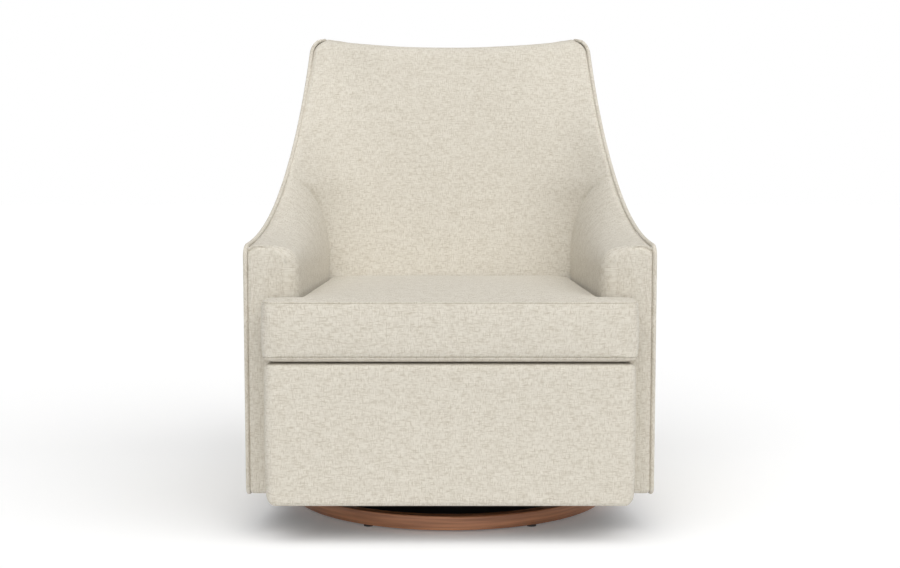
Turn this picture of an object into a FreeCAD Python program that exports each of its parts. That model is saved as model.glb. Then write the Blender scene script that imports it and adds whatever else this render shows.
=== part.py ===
import FreeCAD, Part
import math
import os

# Swivel glider chair in millimetres. The chair faces -Y, +Z is up, and right means the +X side.
# The origin is on the floor, on the swivel axis. Depth d is measured backwards from the arm fronts.

V = FreeCAD.Vector

# Overall sizes
WIDTH = 762.0
DEPTH = 840.0
HEIGHT = 965.0
BODY_BOTTOM = 72.0

# Side outline, seen from the side
FRONT_REACH = 91.0
SIDE_TAPER = 5.7
BACK_OVER_ARM = 424.0
ARM_SLOPE = 4.0
SWOOP_ROOM = 559.0
SWOOP_SLOPE = 30.0
SWOOP_RUN = 403.0
UPPER_BEND_SHARE = 0.55
WING_SLOPE = 55.0
CREST_FALL = 7.0
REAR_LEAN_RUN = 106.0
SIDE_CORNER = 16.0
ARM_CORNER = 24.0
WING_CORNER = 40.0
REAR_CORNER = 25.0
CREST_DIP = 26.0

# Upholstery
WELT_RADIUS = 4.0
FIT = 0.3
PANEL_THICK = 5.0
PANEL_RECESS = 3.0
ARM_PAD = 22.0
ARM_WIDE = 101.0
ARM_INNER_TAPER = 3.5
ARM_CROWN = 3.0
ARM_EDGE_SOFT = 20.0
ARM_ROLL_FALL = 9.0
ARM_ROLL_TALL = 40.0
ARM_CORNER_ROUND = 34.0
CORNER_STEPS = 4
ARM_SEAM_BEHIND = 30.0
REAR_LEAVE_IN = 50.0
REAR_LEAVE_FALL = 49.0
REAR_ROLL_FALL = 116.0
REAR_ROLL_TALL = 206.0
LEAVE_SAG_SHARE = 0.6
ROLL_SAG_SHARE = 0.3
FRAME_BELOW = 16.0
BACK_ROOM = 304.0
BACK_TALL = 515.0
BACK_LEAN = 21.5
BACK_PAD = 64.0
BACK_CURVE_WIDE = 44.0
WING_CURVE_WIDE = 130.0
BACK_CROWN = 4.0
BACK_BOW = 6.0
BACK_BOW_SHARE = 0.14
BACK_HUG_AHEAD = 79.0
CREST_ROLL = 30.0
OUTSIDE_BACK_THICK = 8.0
BORDER_SIDE = 48.0
BORDER_THICK = 8.0
BORDER_CORNER = 15.0
BORDER_SETBACK = 4.0

# Timber frame
PLY = 18.0
RAIL_THICK = 22.0
RAIL_LOW = 262.0
RAIL_TOP = 322.0
REAR_RAIL_BEHIND = 25.0
POST_DEEP = 40.0
POST_WIDE = 50.0
POST_BELOW_ARM = 51.0
BACK_RAIL_THICK = 24.0
BACK_RAIL_TALL = 60.0
LOWER_BACK_RAIL_UP = 40.0
CREST_RAIL_BELOW = 40.0
BLOCK_LEG = 55.0
FRONT_BLOCK_LEG = 42.0
BLOCK_TALL = 40.0
CLEAT_TALL = 40.0
CLEAT_OVERHANG = 6.0
FRAME_LOW = 94.0
DUST_THICK = 1.5
DUST_OPENING_MARGIN = 28.0

# Seat suspension
SPRING_WIRE = 1.9
SPRING_COUNT = 5
SPRING_PITCH = 105.0
SPRING_HALF = 26.0
SPRING_BEND = 10.0
CLIP_WIDE = 20.0
CLIP_LONG = 14.0
DECK_THICK = 10.0
STRAP_WIDE = 50.0
STRAP_THICK = 2.0
STRAP_COUNT = 5
STRAP_PITCH = 100.0

# Seat cushion
CUSHION_GAP = 3.0
CUSHION_BOXING = 108.0
CUSHION_CROWN = 16.0
EAR_SIDE = 40.0
EAR_CORNER = 20.0
EAR_BACK_CORNER = 12.0
CUSHION_REAR_CORNER = 45.0
SIDE_SWELL = 3.0
CROWN_INSET = 26.0
CROWN_STEPS = ((0.55, 0.25), (0.85, 0.6), (1.0, 1.0))
EAR_STEP = 20.0
COVER_THICK = 3.0

# Base
RING_RADIUS = 322.0
RING_WALL = 22.0
RING_TALL = 27.0
RING_EASE = 2.5
GLIDE_RADIUS = 9.0
GLIDE_TALL = 4.0
GLIDE_COUNT = 6
DISC_THICK = 16.0
DISC_RISE = 4.0

# Swivel bearing
RACE_INNER = 100.0
RACE_OUTER = 150.0
RACE_THICK = 6.0
BALL_RADIUS = 4.0
BALL_COUNT = 24
BALL_CLEAR = 0.1
RACE_GAP = 2.0
CAGE_THICK = 1.4
CAGE_HALF = 8.0
KING_RADIUS = 6.0
KING_HEAD_RADIUS = 11.0
KING_HEAD_TALL = 7.0
KING_NUT_TALL = 10.0
RUN_CLEAR = 0.05
SCREW_RADIUS = 2.2
SCREW_HEAD_RADIUS = 4.5
SCREW_HEAD_TALL = 3.0
SCREW_LONG = 12.0
SCREW_COUNT = 6
BOLT_RADIUS = 3.0
BOLT_HEAD_RADIUS = 5.5
BOLT_HEAD_TALL = 4.0
SWIVEL_BOLT_COUNT = 4

# Glide mechanism
PLATE_MARGIN = 10.0
PLATE_THICK = 4.0
CHANNEL_WIDE = 40.0
CHANNEL_TALL = 30.0
CHANNEL_WALL = 3.0
CHANNEL_Y = 110.0
STANCHION_SIDE = 195.0
STANCHION_THICK = 4.0
PIVOT_Y = 125.0
PIVOT_TOP_Z = 230.0
LINK_LONG = 130.0
LINK_HALF = 14.0
LINK_THICK = 4.0
LINK_SIDE_GAP = 6.0
UPRIGHT_HALF = 25.0
STANCHION_FOOT = 48.0
PIN_RADIUS = 5.0
PIN_HEAD_RADIUS = 9.0
PIN_HEAD_THICK = 3.0
BUSH_WALL = 3.0
PIN_SIDE_GAP = 1.5
RAIL_GAP = 14.0
RAIL_WALL = 3.0
RAIL_FLANGE = 30.0
RAIL_END_ROOM = 185.0
RAIL_DROP = 15.0
RAIL_CLEAR = 7.0
GLIDE_SWING = 20.0
BUMPER_LONG = 18.0
BUMPER_TALL = 24.0
BUMPER_GAP = 1.5
RAIL_BOLT_LONG = 28.0
RAIL_BOLT_COUNT = 4

# Values worked out from the sizes above
COS_TAPER = math.cos(math.radians(SIDE_TAPER))
TAN_TAPER = math.tan(math.radians(SIDE_TAPER))
TAN_LEAN = math.tan(math.radians(BACK_LEAN))
COS_LEAN = math.cos(math.radians(BACK_LEAN))
Y_FRONT = -DEPTH / 2
Y_ARM = Y_FRONT + FRONT_REACH
REAR_EDGE = (DEPTH / 2 - Y_ARM) / COS_TAPER
PAD_SIDE = 2 * WELT_RADIUS + FIT
FRAME_OUT = PANEL_RECESS + PANEL_THICK
FRAME_IN = FRAME_OUT + PLY
SPRING_Z = RAIL_TOP + SPRING_WIRE
DECK_LOW = RAIL_TOP + 2 * SPRING_WIRE
DECK_TOP = DECK_LOW + DECK_THICK
FRONT_RAIL_D = ARM_PAD
ARM_TOP = HEIGHT - BACK_OVER_ARM
ARM_RUN = DEPTH - FRONT_REACH - SWOOP_ROOM
ARM_INNER_FRONT = WIDTH / 2 - ARM_WIDE
BACK_START = DEPTH - FRONT_REACH - BACK_ROOM
BACK_START_Z = HEIGHT - BACK_TALL
BACK_HUG = BACK_START - BACK_HUG_AHEAD
ARM_SEAM_D = BACK_HUG + ARM_SEAM_BEHIND
BACK_FLAT_HALF = ARM_INNER_FRONT - BACK_CURVE_WIDE
WING_FLAT_HALF = ARM_INNER_FRONT - WING_CURVE_WIDE
BORDER_HALF = WIDTH / 2 - BORDER_SIDE
EAR_HALF = WIDTH / 2 - EAR_SIDE
REAR_RAIL_D = BACK_START + REAR_RAIL_BEHIND
POST_TOP = ARM_TOP - POST_BELOW_ARM
RAIL_HALF = DEPTH / 2 - RAIL_END_ROOM
POST_D = FRONT_RAIL_D + RAIL_THICK
WEB_BACK = BACK_PAD + STRAP_THICK
RING_LOW = GLIDE_TALL
DISC_LOW = RING_LOW + DISC_RISE
DISC_TOP = DISC_LOW + DISC_THICK
RACE_TOP = DISC_TOP + RACE_THICK
BALL_Z = RACE_TOP + RACE_GAP / 2
BALL_RING = (RACE_INNER + RACE_OUTER) / 2
UPPER_RACE_LOW = RACE_TOP + RACE_GAP
PLATE_LOW = UPPER_RACE_LOW + RACE_THICK
PLATE_TOP = PLATE_LOW + PLATE_THICK
PLATE_HALF = RACE_OUTER + PLATE_MARGIN
STANCHION_X = WIDTH / 2 - STANCHION_SIDE
LINK_X = STANCHION_X + STANCHION_THICK + LINK_SIDE_GAP
RAIL_X = LINK_X + LINK_THICK + RAIL_GAP
PIVOT_LOW_Z = PIVOT_TOP_Z - LINK_LONG
RAIL_FLANGE_TOP = RAIL_LOW - RAIL_CLEAR
BUSH_RADIUS = PIN_RADIUS + BUSH_WALL
GLIDE_TRAVEL = LINK_LONG * math.sin(math.radians(GLIDE_SWING))


# Small builders

def box(x0, x1, y0, y1, z0, z1):
    return Part.makeBox(x1 - x0, y1 - y0, z1 - z0, V(x0, y0, z0))


def rod(radius, x, y, z0, z1):
    return Part.makeCylinder(radius, z1 - z0, V(x, y, z0))


def cross_rod(radius, x0, x1, y, z):
    return Part.makeCylinder(radius, x1 - x0, V(x0, y, z), V(1, 0, 0))


def tube(outer, inner, z0, z1):
    return rod(outer, 0, 0, z0, z1).cut(rod(inner, 0, 0, z0, z1))


def fused(shapes):
    return shapes[0].multiFuse(shapes[1:]).removeSplitter()


def group(shapes):
    return Part.makeCompound(shapes)


def loft(wires, ruled=False):
    """A closed solid through the wires, turned the right way out."""
    solid = Part.makeLoft(wires, True, ruled)
    if solid.Volume < 0:
        solid.reverse()
    return solid


def mirrored(shape):
    return shape.mirror(V(0, 0, 0), V(1, 0, 0))


def around(radius, count, start=0.0):
    turns = [start + 2 * math.pi * k / count for k in range(count)]
    return [(radius * math.cos(t), radius * math.sin(t)) for t in turns]


def biggest(shape):
    return max(shape.Solids, key=lambda solid: solid.Volume)


def save(name, shape):
    shape.exportStep("parts/" + name + ".step")
    print(name, len(shape.Solids), round(shape.Volume / 1000.0, 1), "cm3", shape.isValid())


# Outlines with rounded corners

def inset_outline(points, insets):
    """Move each side of a counter-clockwise outline inwards; side k starts at point k."""
    moved = []
    for k, (x, y, r) in enumerate(points):
        before = points[k - 1]
        after = points[(k + 1) % len(points)]
        u = V(x - before[0], y - before[1], 0).normalize()
        w = V(after[0] - x, after[1] - y, 0).normalize()
        turn = u.cross(w).z
        a = insets[k - 1]
        b = insets[k]
        shift = (u * b - w * a) * (1.0 / turn)
        side = 1 if turn > 0 else -1
        moved.append((x - shift.x, y - shift.y, max(r - side * (a + b) / 2, FIT)))
    return moved


def corner(before, point, after):
    """Tangent points, middle and centre of the arc that rounds one corner."""
    p = V(point[0], point[1], 0)
    u = (V(before[0], before[1], 0) - p).normalize()
    w = (V(after[0], after[1], 0) - p).normalize()
    half = u.getAngle(w) / 2
    reach = point[2] / math.tan(half)
    bisector = (u + w).normalize()
    centre = p + bisector * (point[2] / math.sin(half))
    return p + u * reach, centre - bisector * point[2], p + w * reach, centre


def rounded_wire(points, z=0.0):
    """Closed wire of lines and tangent arcs that starts in the middle of its last side."""
    lift = V(0, 0, z)
    count = len(points)
    arcs = [corner(points[k - 1], points[k], points[(k + 1) % count]) for k in range(count)]
    first = (arcs[-1][2] + arcs[0][0]) * 0.5
    edges = []
    here = first
    for a, m, b, centre in arcs:
        edges.append(Part.makeLine(here + lift, a + lift))
        edges.append(Part.Arc(a + lift, m + lift, b + lift).toShape())
        here = b
    edges.append(Part.makeLine(here + lift, first + lift))
    return Part.Wire(edges)


# Side outline in its own plane: first number along the side, second number height

def side_points(rear):
    """Counter-clockwise from the bottom front corner: bottom, rear, top, wing, swoop, arm."""
    start = V(0, ARM_TOP, 0)
    low = start + V(ARM_RUN, ARM_RUN * math.tan(math.radians(ARM_SLOPE)), 0)
    swoop = math.radians(SWOOP_SLOPE)
    high = low + V(math.cos(swoop), math.sin(swoop), 0) * SWOOP_RUN
    wing_rise = HEIGHT - CREST_FALL - high.y
    wing = high + V(wing_rise / math.tan(math.radians(WING_SLOPE)), wing_rise, 0)
    low_turn = math.tan(math.radians(SWOOP_SLOPE - ARM_SLOPE) / 2)
    high_turn = math.tan(math.radians(WING_SLOPE - SWOOP_SLOPE) / 2)
    high_reach = min(SWOOP_RUN * UPPER_BEND_SHARE, (wing - high).Length - WING_CORNER / 2 - FIT)
    low_reach = min(SWOOP_RUN - high_reach - FIT, (low - start).Length - ARM_CORNER - FIT)
    return [
        (0, BODY_BOTTOM, SIDE_CORNER),
        (rear - REAR_LEAN_RUN, BODY_BOTTOM, SIDE_CORNER),
        (rear, HEIGHT, REAR_CORNER),
        (wing.x, wing.y, WING_CORNER),
        (high.x, high.y, high_reach / high_turn),
        (low.x, low.y, low_reach / low_turn),
        (start.x, start.y, ARM_CORNER),
    ]


def rounding_loss(points):
    """How far short of its corner the rounded rear corner stays."""
    return points[2][0] - corner(points[1], points[2], points[3])[3].x - points[2][2]


SIDE_REAR = REAR_EDGE + rounding_loss(side_points(REAR_EDGE))
SIDE = side_points(SIDE_REAR)
ALL_SIDES = len(SIDE)


def swoop_height(s):
    """Height of the side outline's upper edge at a place along the side."""
    line = [SIDE[6], SIDE[5], SIDE[4], SIDE[3], SIDE[2]]
    for k in (1, 2, 3):
        a, m, b, centre = corner(line[k - 1], line[k], line[k + 1])
        if a.x <= s <= b.x:
            side = 1 if centre.y < m.y else -1
            return centre.y + side * math.sqrt(line[k][2] ** 2 - (s - centre.x) ** 2)
    for p, q in zip(line, line[1:]):
        if s <= q[0]:
            return p[1] + (q[1] - p[1]) * (s - p[0]) / (q[0] - p[0])
    return HEIGHT


def swoop_depth(z):
    """Depth d at which the side outline's upper edge reaches a height."""
    low = 0.0
    high = SIDE[2][0]
    for step in range(50):
        middle = (low + high) / 2
        if swoop_height(middle) < z:
            low = middle
        else:
            high = middle
    return low * COS_TAPER


def side_placed(shape):
    """Carry a shape from the side outline's plane to the right-hand side of the chair."""
    turn = math.radians(SIDE_TAPER)
    along = V(-math.sin(turn), math.cos(turn), 0)
    outward = V(math.cos(turn), math.sin(turn), 0)
    rotation = FreeCAD.Rotation(along, V(0, 0, 1), outward, "ZXY")
    shape.Placement = FreeCAD.Placement(V(WIDTH / 2, Y_ARM, 0), rotation)
    return shape


def side_slab(points, depth_in, thick):
    face = Part.Face(rounded_wire(points, -depth_in - thick))
    return side_placed(face.extrude(V(0, 0, thick)))


def side_prism():
    """The side outline drawn straight across the whole width."""
    flat = [(s * COS_TAPER, z, r) for s, z, r in SIDE]
    prism = Part.Face(rounded_wire(flat)).extrude(V(0, 0, 2 * WIDTH))
    rotation = FreeCAD.Rotation(V(0, 1, 0), V(0, 0, 1), V(1, 0, 0), "ZXY")
    prism.Placement = FreeCAD.Placement(V(-WIDTH, Y_ARM, 0), rotation)
    return prism


def side_x(d, depth_in):
    """Half width at depth d of the plane that lies depth_in inside the side."""
    return WIDTH / 2 - d * TAN_TAPER - depth_in / COS_TAPER


def between_sides(depth_in):
    """All the room between the two planes that lie depth_in inside the sides."""
    front = -FRONT_REACH
    rear = DEPTH
    corners = [(-side_x(front, depth_in), front), (side_x(front, depth_in), front),
               (side_x(rear, depth_in), rear), (-side_x(rear, depth_in), rear)]
    ring = [V(x, Y_ARM + d, 0) for x, d in corners]
    return Part.Face(Part.makePolygon(ring + ring[:1])).extrude(V(0, 0, 2 * HEIGHT))


def back_depth(z):
    """Depth d of the middle of the inside back at a height."""
    return BACK_START + (z - BACK_START_Z) * TAN_LEAN


def back_slab(half, behind, thick, low, high):
    """A slab parallel to the inside back, low and high measured up along the back."""
    slab = box(-half, half, behind, behind + thick, low, high)
    slab.rotate(V(0, 0, 0), V(1, 0, 0), -BACK_LEAN)
    slab.translate(V(0, Y_ARM + BACK_START, BACK_START_Z))
    return slab


def arm_inner(d):
    return ARM_INNER_FRONT - d * math.tan(math.radians(ARM_INNER_TAPER))


# Side frames, panels and welts

frame_insets = [FRAME_LOW - BODY_BOTTOM, PANEL_RECESS + OUTSIDE_BACK_THICK] + [ARM_PAD] * (ALL_SIDES - 2)
frame_rear = SIDE_REAR - FRAME_BELOW * REAR_LEAN_RUN / (HEIGHT - BODY_BOTTOM)
frame_line = SIDE[:2] + [(frame_rear, HEIGHT - FRAME_BELOW, REAR_CORNER)]
frame_line += [(s, z - FRAME_BELOW, r) for s, z, r in SIDE[3:]]
side_frame = side_slab(inset_outline(frame_line, frame_insets), FRAME_OUT, PLY)
panel_outline = inset_outline(SIDE, [PAD_SIDE] * ALL_SIDES)
outside_arm = side_slab(panel_outline, PANEL_RECESS, PANEL_THICK)

welt_path = rounded_wire(inset_outline(SIDE, [WELT_RADIUS] * ALL_SIDES), -WELT_RADIUS)
welt_start = welt_path.Vertexes[0].Point
welt_away = (welt_path.Edges[0].Vertexes[1].Point - welt_start).normalize()
welt_ring = Part.Wire(Part.makeCircle(WELT_RADIUS, welt_start, welt_away))
side_welt = side_placed(welt_path.makePipeShell([welt_ring], True, False))
print("welt volume over section times length",
      round(side_welt.Volume / (math.pi * WELT_RADIUS ** 2 * welt_path.Length), 4))

inner_room = between_sides(FRAME_IN)
pad_room = between_sides(PAD_SIDE)

# Cross rails, posts and blocks

far = WIDTH
seat_front_rail = box(-far, far, Y_ARM + FRONT_RAIL_D, Y_ARM + FRONT_RAIL_D + RAIL_THICK, RAIL_LOW, RAIL_TOP)
seat_front_rail = seat_front_rail.common(inner_room)
seat_rear_rail = box(-far, far, Y_ARM + REAR_RAIL_D, Y_ARM + REAR_RAIL_D + RAIL_THICK, RAIL_LOW, RAIL_TOP)
seat_rear_rail = seat_rear_rail.common(inner_room)
back_lower_rail = back_slab(far, WEB_BACK, BACK_RAIL_THICK, LOWER_BACK_RAIL_UP,
                            LOWER_BACK_RAIL_UP + BACK_RAIL_TALL).common(inner_room)
crest_up = (HEIGHT - CREST_DIP - BACK_START_Z) / COS_LEAN - CREST_RAIL_BELOW
crest_rail = back_slab(far, WEB_BACK, BACK_RAIL_THICK, crest_up - BACK_RAIL_TALL, crest_up).common(inner_room)


def right_prism(plan, z0, z1):
    ring = [V(x, Y_ARM + d, z0) for x, d in plan]
    return Part.Face(Part.makePolygon(ring + ring[:1])).extrude(V(0, 0, z1 - z0))


def both_sides(shape):
    return group([shape, mirrored(shape)])


post_in = FRAME_IN + POST_WIDE
post_end = POST_D + POST_DEEP
arm_post = right_prism([(side_x(POST_D, FRAME_IN), POST_D), (side_x(post_end, FRAME_IN), post_end),
                        (side_x(post_end, post_in), post_end), (side_x(POST_D, post_in), POST_D)],
                       FRAME_LOW, POST_TOP)
block_low = RAIL_TOP - BLOCK_TALL
front_block = right_prism([(side_x(POST_D, post_in), POST_D),
                           (side_x(post_end, post_in), post_end),
                           (side_x(POST_D, post_in) - FRONT_BLOCK_LEG, POST_D)], block_low, RAIL_TOP)
rear_block = right_prism([(side_x(REAR_RAIL_D, FRAME_IN), REAR_RAIL_D),
                          (side_x(REAR_RAIL_D, FRAME_IN) - BLOCK_LEG, REAR_RAIL_D),
                          (side_x(REAR_RAIL_D - BLOCK_LEG, FRAME_IN), REAR_RAIL_D - BLOCK_LEG)],
                         block_low, RAIL_TOP)
arm_posts = both_sides(arm_post)
corner_blocks = group([front_block, mirrored(front_block), rear_block, mirrored(rear_block)])

# Box below the cushion's ears, in front of the arms

border_front = Y_FRONT + BORDER_SETBACK
board_front = border_front + BORDER_THICK
board_half = BORDER_HALF - BORDER_THICK
front_board = box(-board_half, board_half, board_front, board_front + PLY, FRAME_LOW, DECK_LOW)
front_return = box(board_half - PLY, board_half, board_front + PLY, Y_ARM + FRONT_RAIL_D, FRAME_LOW, DECK_LOW)
front_returns = both_sides(front_return)

border_plan = [(-BORDER_HALF, Y_ARM, FIT), (-BORDER_HALF, border_front, BORDER_CORNER),
               (BORDER_HALF, border_front, BORDER_CORNER), (BORDER_HALF, Y_ARM, FIT)]
border_face = [(-BORDER_HALF, BODY_BOTTOM, BORDER_CORNER), (BORDER_HALF, BODY_BOTTOM, BORDER_CORNER),
               (BORDER_HALF, DECK_TOP, BORDER_THICK), (-BORDER_HALF, DECK_TOP, BORDER_THICK)]
front_border = Part.Face(rounded_wire(border_plan, BODY_BOTTOM)).extrude(V(0, 0, DECK_TOP - BODY_BOTTOM))
border_front_view = Part.Face(rounded_wire(border_face)).extrude(V(0, 0, DEPTH))
border_front_view.rotate(V(0, 0, 0), V(1, 0, 0), 90)
border_front_view.translate(V(0, DEPTH / 2, 0))
border_hollow = box(-board_half, board_half, board_front, Y_ARM, 0, HEIGHT)
front_border = front_border.common(border_front_view).cut(border_hollow)

# Arms: sections across the arm at growing depth, square at the front and falling inwards at the back


def arm_top(d):
    """Height of the arm at its welt; behind the seam with the back it stays level."""
    return swoop_height(min(d, ARM_SEAM_D) / COS_TAPER) - PANEL_RECESS / 2


def arm_section(d, low):
    """From the welt one bend leads down to the inner face, which drops straight to a height."""
    share = min(d / ARM_SEAM_D, 1.0)
    front_top = arm_top(0)
    rear_top = arm_top(ARM_SEAM_D)

    def between(front, rear):
        return front + (rear - front) * share

    sag = arm_top(d) - between(front_top, rear_top)
    outer = side_x(d, PAD_SIDE)
    inner = arm_inner(d)
    y = Y_ARM + d
    shoulder = V(outer, y, arm_top(d))
    leave = V(outer - between(outer - inner - ARM_EDGE_SOFT, REAR_LEAVE_IN), y,
              between(front_top + ARM_CROWN, rear_top - REAR_LEAVE_FALL) + LEAVE_SAG_SHARE * sag)
    arrive = V(inner, y, between(front_top - ARM_ROLL_FALL, rear_top - REAR_ROLL_FALL) + ROLL_SAG_SHARE * sag)
    foot = V(inner, y, between(front_top - ARM_ROLL_TALL, rear_top - REAR_ROLL_TALL))
    under = V(outer, y, low)
    inside = V(inner, y, low)
    bend = Part.BezierCurve()
    bend.setPoles([shoulder, leave, arrive, foot])
    return Part.Wire([bend.toShape(), Part.makeLine(foot, inside), Part.makeLine(inside, under),
                      Part.makeLine(under, shoulder)])


ARM_STATIONS = 6
arm_low = BODY_BOTTOM + WELT_RADIUS
arm_end = BACK_START + 2 * ARM_PAD
arm_depths = [ARM_SEAM_D * k / (ARM_STATIONS - 1) for k in range(ARM_STATIONS)]
arm_ahead = loft([arm_section(d, arm_low) for d in arm_depths])
arm_behind = loft([arm_section(d, arm_low) for d in (ARM_SEAM_D, arm_end)], True)


def corner_prism():
    """What the soft inside corner of the arm front leaves out above the deck."""
    inner = arm_inner(ARM_CORNER_ROUND)
    wide = arm_inner(0) + ARM_CORNER_ROUND - inner
    turns = [math.pi / 2 * k / CORNER_STEPS for k in range(CORNER_STEPS + 1)]
    bend = [(inner + wide * (1 - math.cos(a)), ARM_CORNER_ROUND * (1 - math.sin(a))) for a in turns]
    beyond = inner - ARM_PAD
    plan = bend + [(bend[-1][0], -ARM_PAD), (beyond, -ARM_PAD), (beyond, ARM_CORNER_ROUND)]
    return right_prism(plan, DECK_TOP, HEIGHT)


arm_solid = fused([arm_ahead, arm_behind]).cut(corner_prism())

# Inside back: level sections that hug the sitter, with wings that run out to the welts


def crest_roll(z):
    """How far the middle of the back has rolled over its top edge at a height."""
    rise = min(max(z - (HEIGHT - CREST_DIP - CREST_ROLL), 0.0), CREST_ROLL)
    return CREST_ROLL - math.sqrt(CREST_ROLL ** 2 - rise ** 2)


def back_section(z):
    middle = back_depth(z) + crest_roll(z)
    hug = max(swoop_depth(z), BACK_HUG)
    rear = back_depth(z) + BACK_PAD / COS_LEAN
    side = side_x(hug, PAD_SIDE)
    flat = WING_FLAT_HALF if z > DECK_TOP else BACK_FLAT_HALF
    shoulder = middle - BACK_CROWN
    bow = BACK_BOW_SHARE * (shoulder - hug) + BACK_BOW
    bend = ((side + flat) / 2 + max(bow, 0) / 2, (shoulder + hug) / 2 + bow)
    points = [(-side, hug), (-bend[0], bend[1]), (-flat, shoulder), (0, middle), (flat, shoulder),
              bend, (side, hug)]
    p = [V(x, Y_ARM + d, z) for x, d in points]
    right = V(side_x(rear, PAD_SIDE), Y_ARM + rear, z)
    left = V(-right.x, right.y, z)
    return Part.Wire([Part.Arc(p[0], p[1], p[2]).toShape(), Part.Arc(p[2], p[3], p[4]).toShape(),
                      Part.Arc(p[4], p[5], p[6]).toShape(), Part.makeLine(p[6], right),
                      Part.makeLine(right, left), Part.makeLine(left, p[0])])


WING_STATIONS = 14
wing_low = swoop_height(BACK_HUG / COS_TAPER)
wing_top = HEIGHT - CREST_FALL
wing_levels = [wing_low + (wing_top - wing_low) * k / (WING_STATIONS - 1) for k in range(WING_STATIONS)]
back_solid = loft([back_section(z) for z in [DECK_TOP] + wing_levels], True)

crest_half = side_x(SIDE_REAR * COS_TAPER, 0)
crest_arc = Part.Arc(V(-crest_half, -DEPTH, HEIGHT), V(0, -DEPTH, HEIGHT - CREST_DIP),
                     V(crest_half, -DEPTH, HEIGHT)).toShape()
sky = 2 * HEIGHT
above_crest = Part.Face(Part.Wire([
    crest_arc,
    Part.makeLine(V(crest_half, -DEPTH, HEIGHT), V(far, -DEPTH, HEIGHT)),
    Part.makeLine(V(far, -DEPTH, HEIGHT), V(far, -DEPTH, sky)),
    Part.makeLine(V(far, -DEPTH, sky), V(-far, -DEPTH, sky)),
    Part.makeLine(V(-far, -DEPTH, sky), V(-far, -DEPTH, HEIGHT)),
    Part.makeLine(V(-far, -DEPTH, HEIGHT), V(-crest_half, -DEPTH, HEIGHT)),
])).extrude(V(0, 2 * DEPTH, 0))

# Outside back, parallel to the rear edges of the sides

rear_lean = math.degrees(math.atan(REAR_LEAN_RUN * COS_TAPER / (HEIGHT - BODY_BOTTOM)))
rear_y = Y_ARM + (SIDE_REAR - REAR_LEAN_RUN) * COS_TAPER


def rear_slab(front_in, rear_in, low, high):
    """A slab parallel to the rear edges of the sides, between two distances inside them."""
    slab = box(-far, far, -front_in, -rear_in, -HEIGHT, 2 * HEIGHT)
    slab.rotate(V(0, 0, 0), V(1, 0, 0), -rear_lean)
    slab.translate(V(0, rear_y, BODY_BOTTOM))
    return slab.common(box(-far, far, -DEPTH, DEPTH, low, high))


outside_back = rear_slab(PANEL_RECESS + OUTSIDE_BACK_THICK, PANEL_RECESS, BODY_BOTTOM + WELT_RADIUS, HEIGHT)
outside_back = outside_back.common(pad_room).common(side_prism()).cut(above_crest)

crest_low = BACK_START_Z + crest_up * COS_LEAN - BACK_RAIL_THICK
crest_pad = rear_slab(2 * BACK_PAD, PANEL_RECESS + OUTSIDE_BACK_THICK, crest_low, HEIGHT)
crest_front = back_slab(far, CREST_ROLL, DEPTH, -HEIGHT, HEIGHT)
crest_pad = crest_pad.common(pad_room).common(crest_front).common(side_prism())

side_frames = [side_frame, mirrored(side_frame)]
back_straps = [back_slab(STRAP_WIDE / 2, BACK_PAD, STRAP_THICK, LOWER_BACK_RAIL_UP, crest_up)
               for k in range(STRAP_COUNT)]
for k, strap in enumerate(back_straps):
    strap.translate(V((k - (STRAP_COUNT - 1) / 2) * STRAP_PITCH, 0, 0))

inside_back = back_solid.fuse(crest_pad).cut(above_crest)
inside_back = inside_back.cut(group(side_frames + [crest_rail] + back_straps))

arm_box = box(0, far, Y_ARM + ARM_PAD, DEPTH, DECK_TOP, HEIGHT)
inside_arm = biggest(arm_solid.common(arm_box).cut(group([side_frame, arm_post])).cut(back_solid))
front_slice = box(0, far, Y_ARM - ARM_PAD, Y_ARM + ARM_PAD, 0, HEIGHT)
arm_front = arm_solid.common(front_slice).cut(group([front_return, side_frame]))

# Seat springs, clips, deck and dust cover


def spring():
    """One sinuous wire from the front rail to the rear rail, quarter bends and straight runs."""
    start = Y_ARM + FRONT_RAIL_D + RAIL_THICK / 2
    end = Y_ARM + REAR_RAIL_D + RAIL_THICK / 2
    b = SPRING_BEND
    turns = int((end - start - 2 * CLIP_LONG) / (2 * b))
    lead = (end - start - 2 * b * turns) / 2
    bow = b * math.sin(math.radians(45))
    dip = b - bow
    edges = []
    here = V(0, start, SPRING_Z)

    def straight(x, y):
        nonlocal here
        edges.append(Part.makeLine(here, here + V(x, y, 0)))
        here = here + V(x, y, 0)

    def bend(mid_x, mid_y, x, y):
        nonlocal here
        edges.append(Part.Arc(here, here + V(mid_x, mid_y, 0), here + V(x, y, 0)).toShape())
        here = here + V(x, y, 0)

    side = 1
    straight(0, lead - b)
    bend(dip, bow, b, b)
    straight(SPRING_HALF - 2 * b, 0)
    for k in range(turns):
        bend(side * bow, dip, side * b, b)
        bend(-side * dip, bow, -side * b, b)
        side = -side
        last = k == turns - 1
        straight(side * (SPRING_HALF - 2 * b if last else 2 * (SPRING_HALF - b)), 0)
    bend(side * bow, dip, side * b, b)
    straight(0, end - here.y)
    path = Part.Wire(edges)
    ring = Part.Wire(Part.makeCircle(SPRING_WIRE, V(0, start, SPRING_Z), V(0, 1, 0)))
    wire = path.makePipeShell([ring], True, False)
    print("spring volume over section times length",
          round(wire.Volume / (math.pi * SPRING_WIRE ** 2 * path.Length), 4))
    return wire


def clip(y):
    return box(-CLIP_WIDE / 2, CLIP_WIDE / 2, y - CLIP_LONG / 2, y + CLIP_LONG / 2, RAIL_TOP, DECK_LOW)


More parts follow.
